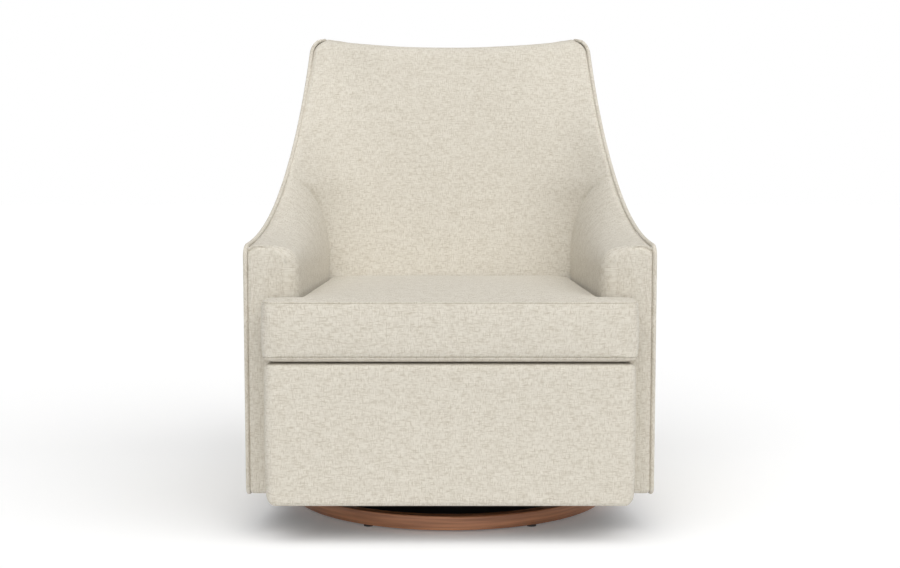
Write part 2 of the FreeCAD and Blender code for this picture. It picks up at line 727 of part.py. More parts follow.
one_spring = spring()
one_pair = [clip(Y_ARM + d + RAIL_THICK / 2).cut(one_spring) for d in (FRONT_RAIL_D, REAR_RAIL_D)]
spring_places = [(k - (SPRING_COUNT - 1) / 2) * SPRING_PITCH for k in range(SPRING_COUNT)]
seat_springs = group([one_spring.translated(V(x, 0, 0)) for x in spring_places])
spring_clips = group([c.translated(V(x, 0, 0)) for x in spring_places for c in one_pair])

deck_rear = REAR_RAIL_D + RAIL_THICK
deck_back = box(-far, far, Y_ARM + ARM_PAD, Y_ARM + deck_rear, DECK_LOW, DECK_TOP).common(inner_room)
deck_neck = box(-arm_inner(ARM_PAD), arm_inner(ARM_PAD), Y_ARM, Y_ARM + ARM_PAD, DECK_LOW, DECK_TOP)
deck_front = box(-board_half, board_half, board_front, Y_ARM, DECK_LOW, DECK_TOP)
seat_deck = fused([deck_back, deck_neck, deck_front]).cut(arm_posts)

dust_inset = FRAME_OUT + FIT
dust_end = (SIDE_REAR - REAR_LEAN_RUN) * COS_TAPER - 2 * ARM_PAD
dust_cover = box(-far, far, Y_ARM + 2 * ARM_PAD, Y_ARM + dust_end, FRAME_LOW - DUST_THICK, FRAME_LOW)
dust_half = RAIL_X + RAIL_FLANGE + DUST_OPENING_MARGIN
dust_y = RAIL_HALF + DUST_OPENING_MARGIN
dust_cover = dust_cover.common(between_sides(dust_inset))
dust_cover = dust_cover.cut(box(-dust_half, dust_half, -dust_y, dust_y, 0, HEIGHT))

# Seat cushion with ears: a swollen boxing, a crowned top and a rear that leans with the inside back

CUSHION_LOW = DECK_TOP + FIT
CUSHION_SEAM = CUSHION_LOW + CUSHION_BOXING


def cushion_outline(z, inset, lean_z):
    """Right half of the T outline and its mirror, drawn in all round by an inset."""
    rear = back_depth(lean_z) - 2 * CUSHION_GAP - inset
    ear_back = -CUSHION_GAP - min(inset, EAR_STEP)
    front = -FRONT_REACH + inset
    side = CUSHION_GAP + inset
    right = [(EAR_HALF - inset, front, EAR_CORNER), (EAR_HALF - inset, ear_back, EAR_BACK_CORNER),
             (arm_inner(ear_back) - side, ear_back, CUSHION_GAP),
             (arm_inner(rear) - side, rear, CUSHION_REAR_CORNER)]
    right = [(x, Y_ARM + d, r) for x, d, r in right]
    left = [(-x, y, r) for x, y, r in reversed(right)]
    return rounded_wire(right + left, z)


def cushion_solid(inset):
    """Seam, swollen middle, seam, then the crown in three steps."""
    seam_low = CUSHION_LOW + inset
    seam_top = CUSHION_SEAM - inset
    seam = inset + SIDE_SWELL
    levels = [(seam_low, seam), ((seam_low + seam_top) / 2, inset), (seam_top, seam)]
    for rise, step in CROWN_STEPS:
        levels.append((seam_top + rise * CUSHION_CROWN, seam + step * CROWN_INSET))
    return loft([cushion_outline(z, edge, min(z, seam_top)) for z, edge in levels], True)


cushion_core = cushion_solid(COVER_THICK)
seat_cushion = cushion_solid(0.0).cut(cushion_core)

# Base: ring, plate, glides and the lower half of the bearing

base_ring = tube(RING_RADIUS, RING_RADIUS - RING_WALL, RING_LOW, RING_LOW + RING_TALL)
base_ring = base_ring.makeFillet(RING_EASE, base_ring.Edges)
floor_glides = group([rod(GLIDE_RADIUS, x, y, 0, GLIDE_TALL)
                      for x, y in around(RING_RADIUS - RING_WALL / 2, GLIDE_COUNT)])


def base_screw(x, y):
    head = rod(SCREW_HEAD_RADIUS, x, y, RACE_TOP - SCREW_HEAD_TALL, RACE_TOP)
    return fused([head, rod(SCREW_RADIUS, x, y, RACE_TOP - SCREW_HEAD_TALL - SCREW_LONG, RACE_TOP)])


screw_ring = (RACE_INNER + BALL_RING - CAGE_HALF) / 2
base_screws = group([base_screw(x, y) for x, y in around(screw_ring, SCREW_COUNT)])
groove = Part.makeTorus(BALL_RING, BALL_RADIUS + BALL_CLEAR, V(0, 0, BALL_Z))
bearing_lower_race = tube(RACE_OUTER, RACE_INNER, DISC_TOP, RACE_TOP).cut(groove).cut(base_screws)
bearing_upper_race = tube(RACE_OUTER, RACE_INNER, UPPER_RACE_LOW, PLATE_LOW).cut(groove)
balls = [Part.makeSphere(BALL_RADIUS, V(x, y, BALL_Z)) for x, y in around(BALL_RING, BALL_COUNT)]
cage_low = BALL_Z - CAGE_THICK / 2
ball_cage = tube(BALL_RING + CAGE_HALF, BALL_RING - CAGE_HALF, cage_low, cage_low + CAGE_THICK)
ball_cage = ball_cage.cut(group(balls))

nut_low = PLATE_TOP + FIT
king_top = nut_low + KING_NUT_TALL + KING_RADIUS / 2
king_bolt = fused([rod(KING_HEAD_RADIUS, 0, 0, DISC_LOW, DISC_LOW + KING_HEAD_TALL),
                   rod(KING_RADIUS, 0, 0, DISC_LOW, king_top)])
king_nut = rod(KING_HEAD_RADIUS, 0, 0, nut_low, nut_low + KING_NUT_TALL).cut(king_bolt)
base_disc = rod(RING_RADIUS - RING_WALL, 0, 0, DISC_LOW, DISC_TOP).cut(group([king_bolt, base_screws]))

# Swivel frame: plate, channels, stanchions and upper pivots


def swivel_bolt(x, y):
    head = rod(BOLT_HEAD_RADIUS, x, y, PLATE_TOP, PLATE_TOP + BOLT_HEAD_TALL)
    return fused([head, rod(BOLT_RADIUS, x, y, UPPER_RACE_LOW + RACE_GAP, PLATE_TOP)])


bolt_ring = (RACE_OUTER + BALL_RING + BALL_RADIUS) / 2
swivel_bolts = group([swivel_bolt(x, y) for x, y in around(bolt_ring, SWIVEL_BOLT_COUNT)])
bearing_upper_race = bearing_upper_race.cut(swivel_bolts)
swivel_plate = box(-PLATE_HALF, PLATE_HALF, -PLATE_HALF, PLATE_HALF, PLATE_LOW, PLATE_TOP)
swivel_plate = swivel_plate.cut(rod(KING_RADIUS + RUN_CLEAR, 0, 0, PLATE_LOW, PLATE_TOP)).cut(swivel_bolts)


def channel(y):
    half = CHANNEL_WIDE / 2
    outer = box(-STANCHION_X, STANCHION_X, y - half, y + half, PLATE_TOP, PLATE_TOP + CHANNEL_TALL)
    inner = box(-STANCHION_X, STANCHION_X, y - half + CHANNEL_WALL, y + half - CHANNEL_WALL,
                PLATE_TOP, PLATE_TOP + CHANNEL_TALL - CHANNEL_WALL)
    return outer.cut(inner)


stanchion_half = PIVOT_Y + UPRIGHT_HALF
stanchion_top = PIVOT_TOP_Z + LINK_HALF
stanchion = box(STANCHION_X, STANCHION_X + STANCHION_THICK, -stanchion_half, stanchion_half,
                PLATE_TOP, stanchion_top)
stanchion = stanchion.cut(box(0, far, UPRIGHT_HALF - PIVOT_Y, PIVOT_Y - UPRIGHT_HALF,
                              PLATE_TOP + STANCHION_FOOT, HEIGHT))
upper_pin_end = LINK_X + LINK_THICK + PIN_SIDE_GAP


def upper_pin(y):
    end = upper_pin_end + PIN_HEAD_THICK
    shank = cross_rod(PIN_RADIUS, STANCHION_X, end, y, PIVOT_TOP_Z)
    return fused([shank, cross_rod(PIN_HEAD_RADIUS, upper_pin_end, end, y, PIVOT_TOP_Z)])


def sleeve(x0, x1, y, z):
    return cross_rod(BUSH_RADIUS, x0, x1, y, z).cut(cross_rod(PIN_RADIUS, x0, x1, y, z))


upper_pins = [upper_pin(y) for y in (-PIVOT_Y, PIVOT_Y)]
upper_bush_start = STANCHION_X + STANCHION_THICK
upper_bushes = [sleeve(upper_bush_start, upper_pin_end, y, PIVOT_TOP_Z) for y in (-PIVOT_Y, PIVOT_Y)]
stanchion = stanchion.cut(group(upper_pins))

# Links


def link(y):
    x0 = LINK_X
    x1 = LINK_X + LINK_THICK
    ends = [cross_rod(LINK_HALF, x0, x1, y, z) for z in (PIVOT_LOW_Z, PIVOT_TOP_Z)]
    bar = box(x0, x1, y - LINK_HALF, y + LINK_HALF, PIVOT_LOW_Z, PIVOT_TOP_Z)
    holes = [cross_rod(BUSH_RADIUS + RUN_CLEAR, x0, x1, y, z) for z in (PIVOT_LOW_Z, PIVOT_TOP_Z)]
    return fused([bar] + ends).cut(group(holes))


# Glide rails under the seat, with lower pivots, bumpers and bolts

cleat = box(RAIL_X - CLEAT_OVERHANG, RAIL_X + RAIL_FLANGE + CLEAT_OVERHANG,
            Y_ARM + POST_D, Y_ARM + REAR_RAIL_D, RAIL_FLANGE_TOP, RAIL_FLANGE_TOP + CLEAT_TALL)
glide_rail = fused([
    box(RAIL_X, RAIL_X + RAIL_WALL, -RAIL_HALF, RAIL_HALF, PIVOT_LOW_Z - RAIL_DROP, RAIL_FLANGE_TOP),
    box(RAIL_X, RAIL_X + RAIL_FLANGE, -RAIL_HALF, RAIL_HALF, RAIL_FLANGE_TOP - RAIL_WALL, RAIL_FLANGE_TOP)])
lower_pin_end = LINK_X - PIN_SIDE_GAP


def lower_pin(y):
    shank = cross_rod(PIN_RADIUS, lower_pin_end - PIN_HEAD_THICK, RAIL_X + RAIL_WALL, y, PIVOT_LOW_Z)
    head = cross_rod(PIN_HEAD_RADIUS, lower_pin_end - PIN_HEAD_THICK, lower_pin_end, y, PIVOT_LOW_Z)
    return fused([shank, head])


lower_pins = [lower_pin(y) for y in (-PIVOT_Y, PIVOT_Y)]
lower_bushes = [sleeve(lower_pin_end, RAIL_X, y, PIVOT_LOW_Z) for y in (-PIVOT_Y, PIVOT_Y)]
bumper_start = stanchion_half + GLIDE_TRAVEL + BUMPER_GAP
bumper_low = PLATE_TOP + STANCHION_FOOT + RAIL_DROP
rear_bumper = box(STANCHION_X, RAIL_X, bumper_start, bumper_start + BUMPER_LONG,
                  bumper_low, bumper_low + BUMPER_TALL)
front_bumper = rear_bumper.mirror(V(0, 0, 0), V(0, 1, 0))


def rail_bolt(y):
    x = RAIL_X + RAIL_FLANGE / 2
    low = RAIL_FLANGE_TOP - RAIL_WALL
    head = rod(BOLT_HEAD_RADIUS, x, y, low - BOLT_HEAD_TALL, low)
    return fused([head, rod(BOLT_RADIUS, x, y, low - BOLT_HEAD_TALL, low + RAIL_BOLT_LONG)])


bolt_end = Y_ARM + REAR_RAIL_D - RAIL_FLANGE
bolt_start = -RAIL_HALF + RAIL_FLANGE
bolt_step = (bolt_end - bolt_start) / (RAIL_BOLT_COUNT - 1)
bolt_places = [bolt_start + bolt_step * k for k in range(RAIL_BOLT_COUNT)]
right_bolts = [rail_bolt(y) for y in bolt_places]
cleat = cleat.cut(group(right_bolts))
glide_rail = glide_rail.cut(group(right_bolts + lower_pins))

# Every sub-part, one file each

os.makedirs("parts", exist_ok=True)
save("base_ring", base_ring)
save("base_disc", base_disc)
save("floor_glides", floor_glides)
save("base_screws", base_screws)
save("bearing_lower_race", bearing_lower_race)
save("king_bolt", king_bolt)
save("king_nut", king_nut)
save("bearing_balls", group(balls))
save("ball_cage", ball_cage)
save("bearing_upper_race", bearing_upper_race)
save("swivel_plate", swivel_plate)
save("swivel_bolts", swivel_bolts)
save("cross_channel_front", channel(-CHANNEL_Y))
save("cross_channel_rear", channel(CHANNEL_Y))
save("stanchion_right", stanchion)
save("stanchion_left", mirrored(stanchion))
save("upper_pivot_pins", group(upper_pins + [mirrored(p) for p in upper_pins]))
save("upper_pivot_bushes", group(upper_bushes + [mirrored(b) for b in upper_bushes]))
for place, y in (("front", -PIVOT_Y), ("rear", PIVOT_Y)):
    save("link_" + place + "_right", link(y))
    save("link_" + place + "_left", mirrored(link(y)))
save("glide_rail_right", glide_rail)
save("glide_rail_left", mirrored(glide_rail))
save("lower_pivot_pins", group(lower_pins + [mirrored(p) for p in lower_pins]))
save("lower_pivot_bushes", group(lower_bushes + [mirrored(b) for b in lower_bushes]))
save("glide_bumpers", group([s for b in (rear_bumper, front_bumper) for s in (b, mirrored(b))]))
save("rail_bolts", group(right_bolts + [mirrored(b) for b in right_bolts]))
save("rail_cleats", both_sides(cleat))
save("side_frame_right", side_frame)
save("side_frame_left", mirrored(side_frame))
save("arm_posts", arm_posts)
save("seat_front_rail", seat_front_rail)
save("seat_rear_rail", seat_rear_rail)
save("back_lower_rail", back_lower_rail)
save("crest_rail", crest_rail)
save("corner_blocks", corner_blocks)
save("front_board", front_board)
save("front_returns", front_returns)
save("seat_springs", seat_springs)
save("spring_clips", spring_clips)
save("seat_deck", seat_deck)
save("back_webbing", group(back_straps))
save("inside_back", inside_back)
save("inside_arm_right", inside_arm)
save("inside_arm_left", mirrored(inside_arm))
save("arm_front_right", arm_front)
save("arm_front_left", mirrored(arm_front))
save("outside_arm_right", outside_arm)
save("outside_arm_left", mirrored(outside_arm))
save("outside_back", outside_back)
save("front_border", front_border)
save("side_welt_right", side_welt)
save("side_welt_left", mirrored(side_welt))
save("dust_cover", dust_cover)
save("seat_cushion", seat_cushion)
save("cushion_core", cushion_core)
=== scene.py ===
# %% [markdown]
# # A swivel glider chair
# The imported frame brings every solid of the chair: timber, springs, glide links, bearing and base ring.
# This lesson dresses it. Fabric covers take the place of the soft solids, piping runs round both sides,
# and steel, timber and plastic get their own finishes. Every length is in metres, in the frame's own
# axes: the chair faces -Y, +X is the side on the right of the picture, and it stands on z = 0.

# %% Load the frame
import math
import bmesh
import bpy
import numpy as np
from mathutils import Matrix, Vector, geometry, kdtree, noise


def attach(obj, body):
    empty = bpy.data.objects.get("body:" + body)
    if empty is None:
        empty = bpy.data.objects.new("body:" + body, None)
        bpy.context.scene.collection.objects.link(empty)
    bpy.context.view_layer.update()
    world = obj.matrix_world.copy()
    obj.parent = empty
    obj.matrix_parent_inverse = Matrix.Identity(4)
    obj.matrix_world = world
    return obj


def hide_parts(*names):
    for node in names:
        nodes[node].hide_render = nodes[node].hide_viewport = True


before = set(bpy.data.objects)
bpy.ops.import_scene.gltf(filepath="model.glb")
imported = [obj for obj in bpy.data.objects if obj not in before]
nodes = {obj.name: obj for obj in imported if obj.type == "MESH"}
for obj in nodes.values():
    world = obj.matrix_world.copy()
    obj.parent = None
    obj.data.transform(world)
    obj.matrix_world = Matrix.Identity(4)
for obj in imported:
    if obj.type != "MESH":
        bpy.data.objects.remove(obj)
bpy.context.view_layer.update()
MM = 0.001

# %% [markdown]
# ## Camera and light
# The picture was taken from the front, a little above the arms, with a long lens. A lens of 60 mm on a
# 36 mm sensor gives the same narrowing of the back. A white room lights the chair evenly. Of three soft
# lamps, the one on the right models the forms, the one above lights the seat and the floor, and a weak one
# in front opens the shadows. Lamps of the sun kind light the whole floor alike, so that no spot shows where
# their light ends.

# %% Camera
CAMERA_AWAY, CAMERA_HEIGHT, CAMERA_PITCH = 3.074, 0.733, 5.5
scene = bpy.context.scene
scene.view_settings.view_transform = "Standard"
camera = bpy.data.objects.new("camera", bpy.data.cameras.new("camera"))
camera.data.lens = 60
camera.data.sensor_width = 36
camera.location = (0, -CAMERA_AWAY, CAMERA_HEIGHT)
camera.rotation_euler = (math.radians(90 - CAMERA_PITCH), 0, 0)
scene.collection.objects.link(camera)
scene.camera = camera


# %% Helpers for nodes
def plug(tree, port, value):
    """Set an input to a value, or link it to another node's output."""
    if isinstance(value, bpy.types.NodeSocket):
        tree.links.new(value, port)
    else:
        port.default_value = value


def node(tree, kind, inputs=None, **settings):
    """One node with its settings and its inputs."""
    made = tree.nodes.new(kind)
    for key, value in settings.items():
        setattr(made, key, value)
    for key, value in (inputs or {}).items():
        plug(tree, made.inputs[key], value)
    return made


def math_node(tree, operation, first, second=0.0):
    return node(tree, "ShaderNodeMath", {0: first, 1: second}, operation=operation).outputs[0]


def spread(tree, value, low, high, least=0.0, most=1.0):
    """A value between two bounds, spread over another range."""
    bounds = {"Value": value, "From Min": low, "From Max": high, "To Min": least, "To Max": most}
    return node(tree, "ShaderNodeMapRange", bounds).outputs[0]


# %% Lamps
def soft_sun(name, strength, spread, turn):
    """A distant lamp; spread is how wide it looks from the chair, which softens its shadows."""
    lamp = bpy.data.objects.new(name, bpy.data.lights.new(name, "SUN"))
    lamp.data.energy = strength
    lamp.data.angle = math.radians(spread)
    lamp.rotation_euler = [math.radians(t) for t in turn]
    scene.collection.objects.link(lamp)


soft_sun("key_from_the_right", 1.00, 45, (46, 0, 56))
soft_sun("light_from_above", 1.50, 60, (32, 0, -17))
soft_sun("light_from_the_front", 0.60, 60, (73, 0, 0))

# %% White room and floor
ROOM_LIGHT, PAPER_WHITE, PAPER_LIFT, REACH = 0.30, 0.93, 0.10, 14.0


def seen_ray(tree):
    """1 for the rays that show the background: straight, off a shiny piece or through a clear one."""
    rays = node(tree, "ShaderNodeLightPath").outputs
    seen = math_node(tree, "MAXIMUM", rays["Is Camera Ray"], rays["Is Glossy Ray"])
    return math_node(tree, "MAXIMUM", seen, rays["Is Transmission Ray"])


def empty_tree(holder):
    holder.use_nodes = True
    holder.node_tree.nodes.clear()
    return holder.node_tree


room = bpy.data.worlds.new("white_room")
scene.world = room
tree = empty_tree(room)
level = spread(tree, seen_ray(tree), 0, 1, ROOM_LIGHT, 1.0)
sky = node(tree, "ShaderNodeBackground", {"Color": (1, 1, 1, 1), "Strength": level})
node(tree, "ShaderNodeOutputWorld", {"Surface": sky.outputs[0]})

paper = bpy.data.materials.new("white_paper")
tree = empty_tree(paper)
matt = node(tree, "ShaderNodeBsdfDiffuse", {"Color": (PAPER_WHITE, PAPER_WHITE, PAPER_WHITE, 1)})
lift = math_node(tree, "MULTIPLY", seen_ray(tree), PAPER_LIFT)
glow = node(tree, "ShaderNodeEmission", {"Color": (1, 1, 1, 1), "Strength": lift})
both = node(tree, "ShaderNodeAddShader", {0: matt.outputs[0], 1: glow.outputs[0]})
node(tree, "ShaderNodeOutputMaterial", {"Surface": both.outputs[0]})

floor_mesh = bpy.data.meshes.new("floor")
square = [(-REACH, -REACH, 0), (REACH, -REACH, 0), (REACH, REACH, 0), (-REACH, REACH, 0)]
floor_mesh.from_pydata(square, [], [(0, 1, 2, 3)])
floor_mesh.materials.append(paper)
floor = bpy.data.objects.new("floor", floor_mesh)
scene.collection.objects.link(floor)
print("camera, three lamps, room and floor are set")


# %% [markdown]
# ## Finishes
# A cloth is threads that cross, so its finish is built from the two thread directions. Each cover has a
# map named weave, laid out in metres on the cloth, and the finish reads that map: thin fast waves make
# the single threads, and noise that is stretched along one direction makes the slubs, the thick and thin
# places that give linen its cross-hatched look. Timber and metal read the place on the piece itself.

# %% Colours
def srgb(r, g, b):
    """A colour as seen on a screen, 0 to 255, turned into the linear values a shader works with."""
    line = [c / 255 / 12.92 if c <= 10 else ((c / 255 + 0.055) / 1.055) ** 2.4 for c in (r, g, b)]
    return (*line, 1)


def finish(name, rough, **sockets):
    """A new finish: its shader takes the values that are the same all over."""
    made = bpy.data.materials.new(name)
    made.use_nodes = True
    shader = made.node_tree.nodes["Principled BSDF"]
    shader.inputs["Roughness"].default_value = rough
    for key, value in sockets.items():
        shader.inputs[key.replace("_", " ")].default_value = value
    return made, made.node_tree, shader


def scaled_noise(tree, place, stretch, detail=2.0, shift=0.0):
    """Noise whose grain is stretched: larger numbers make it finer along that direction."""
    moved = node(tree, "ShaderNodeVectorMath", {0: place, 1: stretch}, operation="MULTIPLY").outputs[0]
    moved = node(tree, "ShaderNodeVectorMath", {0: moved, 1: (shift,) * 3}, operation="ADD").outputs[0]
    return node(tree, "ShaderNodeTexNoise", {"Vector": moved, "Scale": 1.0, "Detail": detail}).outputs["Fac"]


def uneven_shine(tree, shader, cloud, rough, more):
    """A shine that wanders with a noise, because no surface is equally smooth all over."""
    tree.links.new(spread(tree, cloud, 0, 1, rough - 0.08, rough + more), shader.inputs["Roughness"])


def bumped(tree, shader, height, depth, strength=1.0):
    bump = node(tree, "ShaderNodeBump", {"Height": height, "Distance": depth, "Strength": strength})
    tree.links.new(bump.outputs[0], shader.inputs["Normal"])


# %% Linen
def colour_mix(tree, share, first, second):
    """Mix two colours; each may be a fixed colour or another node's output."""
    mixed = tree.nodes.new("ShaderNodeMix")
    mixed.data_type = "RGBA"
    ports = [s for s in mixed.inputs if s.enabled]
    for port, value in zip(ports, (share, first, second)):
        plug(tree, port, value)
    return [s for s in mixed.outputs if s.enabled][0]


def woven(name, light, middle, dark, pitch, slub, depth):
    """Plain weave: threads of a pitch, slubs of a length, three tones of yarn."""
    made, tree, shader = finish(name, 0.92, Sheen_Weight=0.12, Sheen_Roughness=0.6, Specular_IOR_Level=0.2)
    weave = node(tree, "ShaderNodeUVMap", uv_map="weave").outputs[0]
    parts = node(tree, "ShaderNodeSeparateXYZ", {0: weave}).outputs
    waves = [math_node(tree, "SINE", math_node(tree, "MULTIPLY", parts[k], math.pi / pitch)) for k in (0, 1)]
    crossing = math_node(tree, "MULTIPLY", *waves)
    fine, long, broad = 1 / (1.8 * pitch), 1 / slub, 1 / (2 * slub)
    warp = scaled_noise(tree, weave, (fine, long, 1), 3)
    weft = scaled_noise(tree, weave, (long, fine, 1), 3, 7.3)
    cloud = scaled_noise(tree, weave, (broad, broad, 1), 2, 3.1)
    tall = math_node(tree, "MAXIMUM", warp, weft)
    low = math_node(tree, "MINIMUM", warp, weft)
    tone = colour_mix(tree, spread(tree, tall, 0.50, 0.80), middle, light)
    tone = colour_mix(tree, spread(tree, low, 0.48, 0.22), tone, dark)
    tone = colour_mix(tree, spread(tree, cloud, 0.35, 0.7, 0.0, 0.14), tone, dark)
    tree.links.new(tone, shader.inputs["Base Color"])
    bumped(tree, shader, math_node(tree, "ADD", crossing, math_node(tree, "MULTIPLY", tall, 2.0)), depth)
    return made


linen = woven("oatmeal_linen", srgb(228, 223, 211), srgb(215, 209, 196), srgb(186, 176, 158),
              1.2 * MM, 10 * MM, 0.25 * MM)
duck = woven("cotton_duck", srgb(196, 189, 176), srgb(184, 177, 163), srgb(160, 152, 138),
             0.9 * MM, 22 * MM, 0.20 * MM)
strap_weave = woven("woven_strap", srgb(190, 168, 134), srgb(172, 150, 116), srgb(128, 108, 78),
                    2.0 * MM, 30 * MM, 0.35 * MM)
cambric = woven("black_cambric", srgb(52, 50, 48), srgb(40, 39, 38), srgb(24, 24, 24),
                0.8 * MM, 12 * MM, 0.15 * MM)


# %% Timber
RING_RADIUS = 322 * MM
GRAIN_ACROSS, GRAIN_ALONG = 170.0, 7.0
BANDS_ACROSS, BANDS_ALONG = 38.0, 2.2
PLY = 4 * MM


def timber(name, light, dark, along, ring=False, facing=None, rough=0.5, coat=0.0):
    """Grain that runs along one axis, or round the base ring; plies that face one way show on cut edges."""
    made, tree, shader = finish(name, rough, Coat_Weight=coat, Coat_Roughness=0.25)
    place = node(tree, "ShaderNodeTexCoord").outputs["Object"]
    parts = node(tree, "ShaderNodeSeparateXYZ", {0: place}).outputs
    if ring:
        turn = math_node(tree, "ARCTAN2", parts[0], math_node(tree, "MULTIPLY", parts[1], -1.0))
        away = node(tree, "ShaderNodeVectorMath", {0: place, 1: (1, 1, 0)}, operation="MULTIPLY").outputs[0]
        away = node(tree, "ShaderNodeVectorMath", {0: away}, operation="LENGTH").outputs["Value"]
        round_it = math_node(tree, "MULTIPLY", turn, RING_RADIUS)
        place = node(tree, "ShaderNodeCombineXYZ", {0: round_it, 1: away, 2: parts[2]}).outputs[0]
    thin = [GRAIN_ALONG if k == along else GRAIN_ACROSS for k in range(3)]
    wide = [BANDS_ALONG if k == along else BANDS_ACROSS for k in range(3)]
    grain = scaled_noise(tree, place, thin, 5)
    bands = scaled_noise(tree, place, wide, 2, 4.7)
    fine, broad = math_node(tree, "MULTIPLY", grain, 0.6), math_node(tree, "MULTIPLY", bands, 0.4)
    tone = colour_mix(tree, spread(tree, math_node(tree, "ADD", fine, broad), 0.34, 0.64), dark, light)
    if facing:
        side = math_node(tree, "ABSOLUTE", parts[0])
        whole = node(tree, "ShaderNodeCombineXYZ", {0: side, 1: parts[1], 2: parts[2]}).outputs[0]
        deep = node(tree, "ShaderNodeVectorMath", {0: whole, 1: facing}, operation="DOT_PRODUCT")
        wave = math_node(tree, "SINE", math_node(tree, "MULTIPLY", deep.outputs["Value"], 2 * math.pi / PLY))
        tone = colour_mix(tree, spread(tree, wave, -0.3, 0.3, 0.0, 0.45), tone, dark)
    tree.links.new(tone, shader.inputs["Base Color"])
    uneven_shine(tree, shader, grain, rough, 0.12)
    bumped(tree, shader, grain, 0.15 * MM, 0.5)
    return made


TAPER = math.radians(5.7)
PLYWOOD = srgb(214, 184, 142), srgb(178, 142, 100)
BEECH = srgb(206, 168, 124), srgb(170, 128, 88)
walnut = timber("walnut_band", srgb(216, 152, 112), srgb(150, 98, 68), 0, ring=True, rough=0.42, coat=0.12)
side_ply = timber("side_plywood", *PLYWOOD, 2, facing=(math.cos(TAPER), math.sin(TAPER), 0), rough=0.7)
front_ply = timber("front_plywood", *PLYWOOD, 0, facing=(0, 1, 0), rough=0.7)
return_ply = timber("return_plywood", *PLYWOOD, 1, facing=(1, 0, 0), rough=0.7)
# The base disc's black is partly painted shade. It is black-painted plywood, and its black also stands in for
# the deep shadow under the chair, seen between the base ring and the body.
black_and_shade_ply = timber("black_plywood", srgb(34, 32, 31), srgb(18, 17, 16), 0, rough=0.62)
beech_across = timber("beech_across", *BEECH, 0, rough=0.65)
beech_upright = timber("beech_upright", *BEECH, 2, rough=0.65)
beech_along = timber("beech_along", *BEECH, 1, rough=0.65)


# %% Metal, plastic and rubber
def speckled(name, light, dark, grain, rough, depth, metal=0.0):
    """A moulded, plated or painted surface: two close tones, an uneven shine and a fine bump."""
    made, tree, shader = finish(name, rough, Metallic=metal)
    place = node(tree, "ShaderNodeTexCoord").outputs["Object"]
    fine = scaled_noise(tree, place, (1 / grain,) * 3, 3)
    wide = scaled_noise(tree, place, (1 / (14 * grain),) * 3, 3, 2.9)
    tree.links.new(colour_mix(tree, spread(tree, wide, 0.35, 0.65), dark, light), shader.inputs["Base Color"])
    uneven_shine(tree, shader, wide, rough, 0.1)
    bumped(tree, shader, fine, depth, 0.6)
    return made


powder_coat = speckled("black_powder_coat", srgb(50, 50, 51), srgb(38, 38, 39), 0.9 * MM, 0.5, 0.05 * MM)
zinc = speckled("zinc_plate", srgb(206, 206, 200), srgb(182, 181, 172), 0.6 * MM, 0.34, 0.02 * MM, 1.0)
spring_wire = speckled("oiled_spring_wire", srgb(120, 116, 110), srgb(84, 80, 76), 0.7 * MM, 0.4, 0.02 * MM,
                       1.0)
race_steel = speckled("pressed_steel", srgb(186, 186, 186), srgb(160, 160, 160), 0.8 * MM, 0.36, 0.02 * MM,
                      1.0)
ball_steel = speckled("polished_steel", srgb(224, 224, 226), srgb(210, 210, 212), 1.5 * MM, 0.12, 0.004 * MM,
                      1.0)
nylon = speckled("moulded_nylon", srgb(62, 60, 58), srgb(48, 46, 45), 1.2 * MM, 0.45, 0.03 * MM)
rubber = speckled("moulded_rubber", srgb(42, 41, 40), srgb(30, 29, 29), 0.8 * MM, 0.78, 0.06 * MM)
print("finishes:", len(bpy.data.materials))

# %% [markdown]
# ## Finishes on the solids that stay
# The hidden frame and the base keep the shapes that the frame brings. Each solid only gets its finish,
# in its own material slot: its mesh and its place are never touched.

# %% Dress the hard solids
SOLID_FINISH = {
    walnut: ["base_ring"],
    # base disc: black paint together with painted shade under the chair
    black_and_shade_ply: ["base_disc"],
    nylon: ["floor_glides", "upper_pivot_bushes", "lower_pivot_bushes", "ball_cage"],
    zinc: ["base_screws", "king_bolt", "king_nut", "swivel_bolts", "upper_pivot_pins", "lower_pivot_pins",
           "rail_bolts", "spring_clips"],
    race_steel: ["bearing_lower_race", "bearing_upper_race"],
    ball_steel: ["bearing_balls"],
    powder_coat: ["swivel_plate", "cross_channel_front", "cross_channel_rear",
                  "stanchion_left", "stanchion_right", "glide_rail_left", "glide_rail_right",
                  "link_front_left", "link_front_right", "link_rear_left", "link_rear_right"],
    rubber: ["glide_bumpers"],
    spring_wire: ["seat_springs"],
    side_ply: ["side_frame_left", "side_frame_right"],
    front_ply: ["front_board"],
    return_ply: ["front_returns"],
    beech_across: ["seat_front_rail", "seat_rear_rail", "back_lower_rail", "crest_rail"],
    beech_upright: ["arm_posts", "corner_blocks"],
    beech_along: ["rail_cleats"],
}
for made, names in SOLID_FINISH.items():
    for name in names:
        nodes[name].data.materials.clear()
        nodes[name].data.materials.append(made)
print("dressed solids:", sum(len(names) for names in SOLID_FINISH.values()))

# %% [markdown]
# ## The lines that shape the covers
# The chair is drawn by a few lines: the outline of the side, the lean of the back and the inner face of
# the arm. They are the ones the solids were cut to, so covers made from them sit where the solids sit.
# Depth d is measured backwards from the arm fronts, and s is the same distance along the slanting side.
# The two top corners are sewn round, so every cover that reaches them is bent there along one arc.

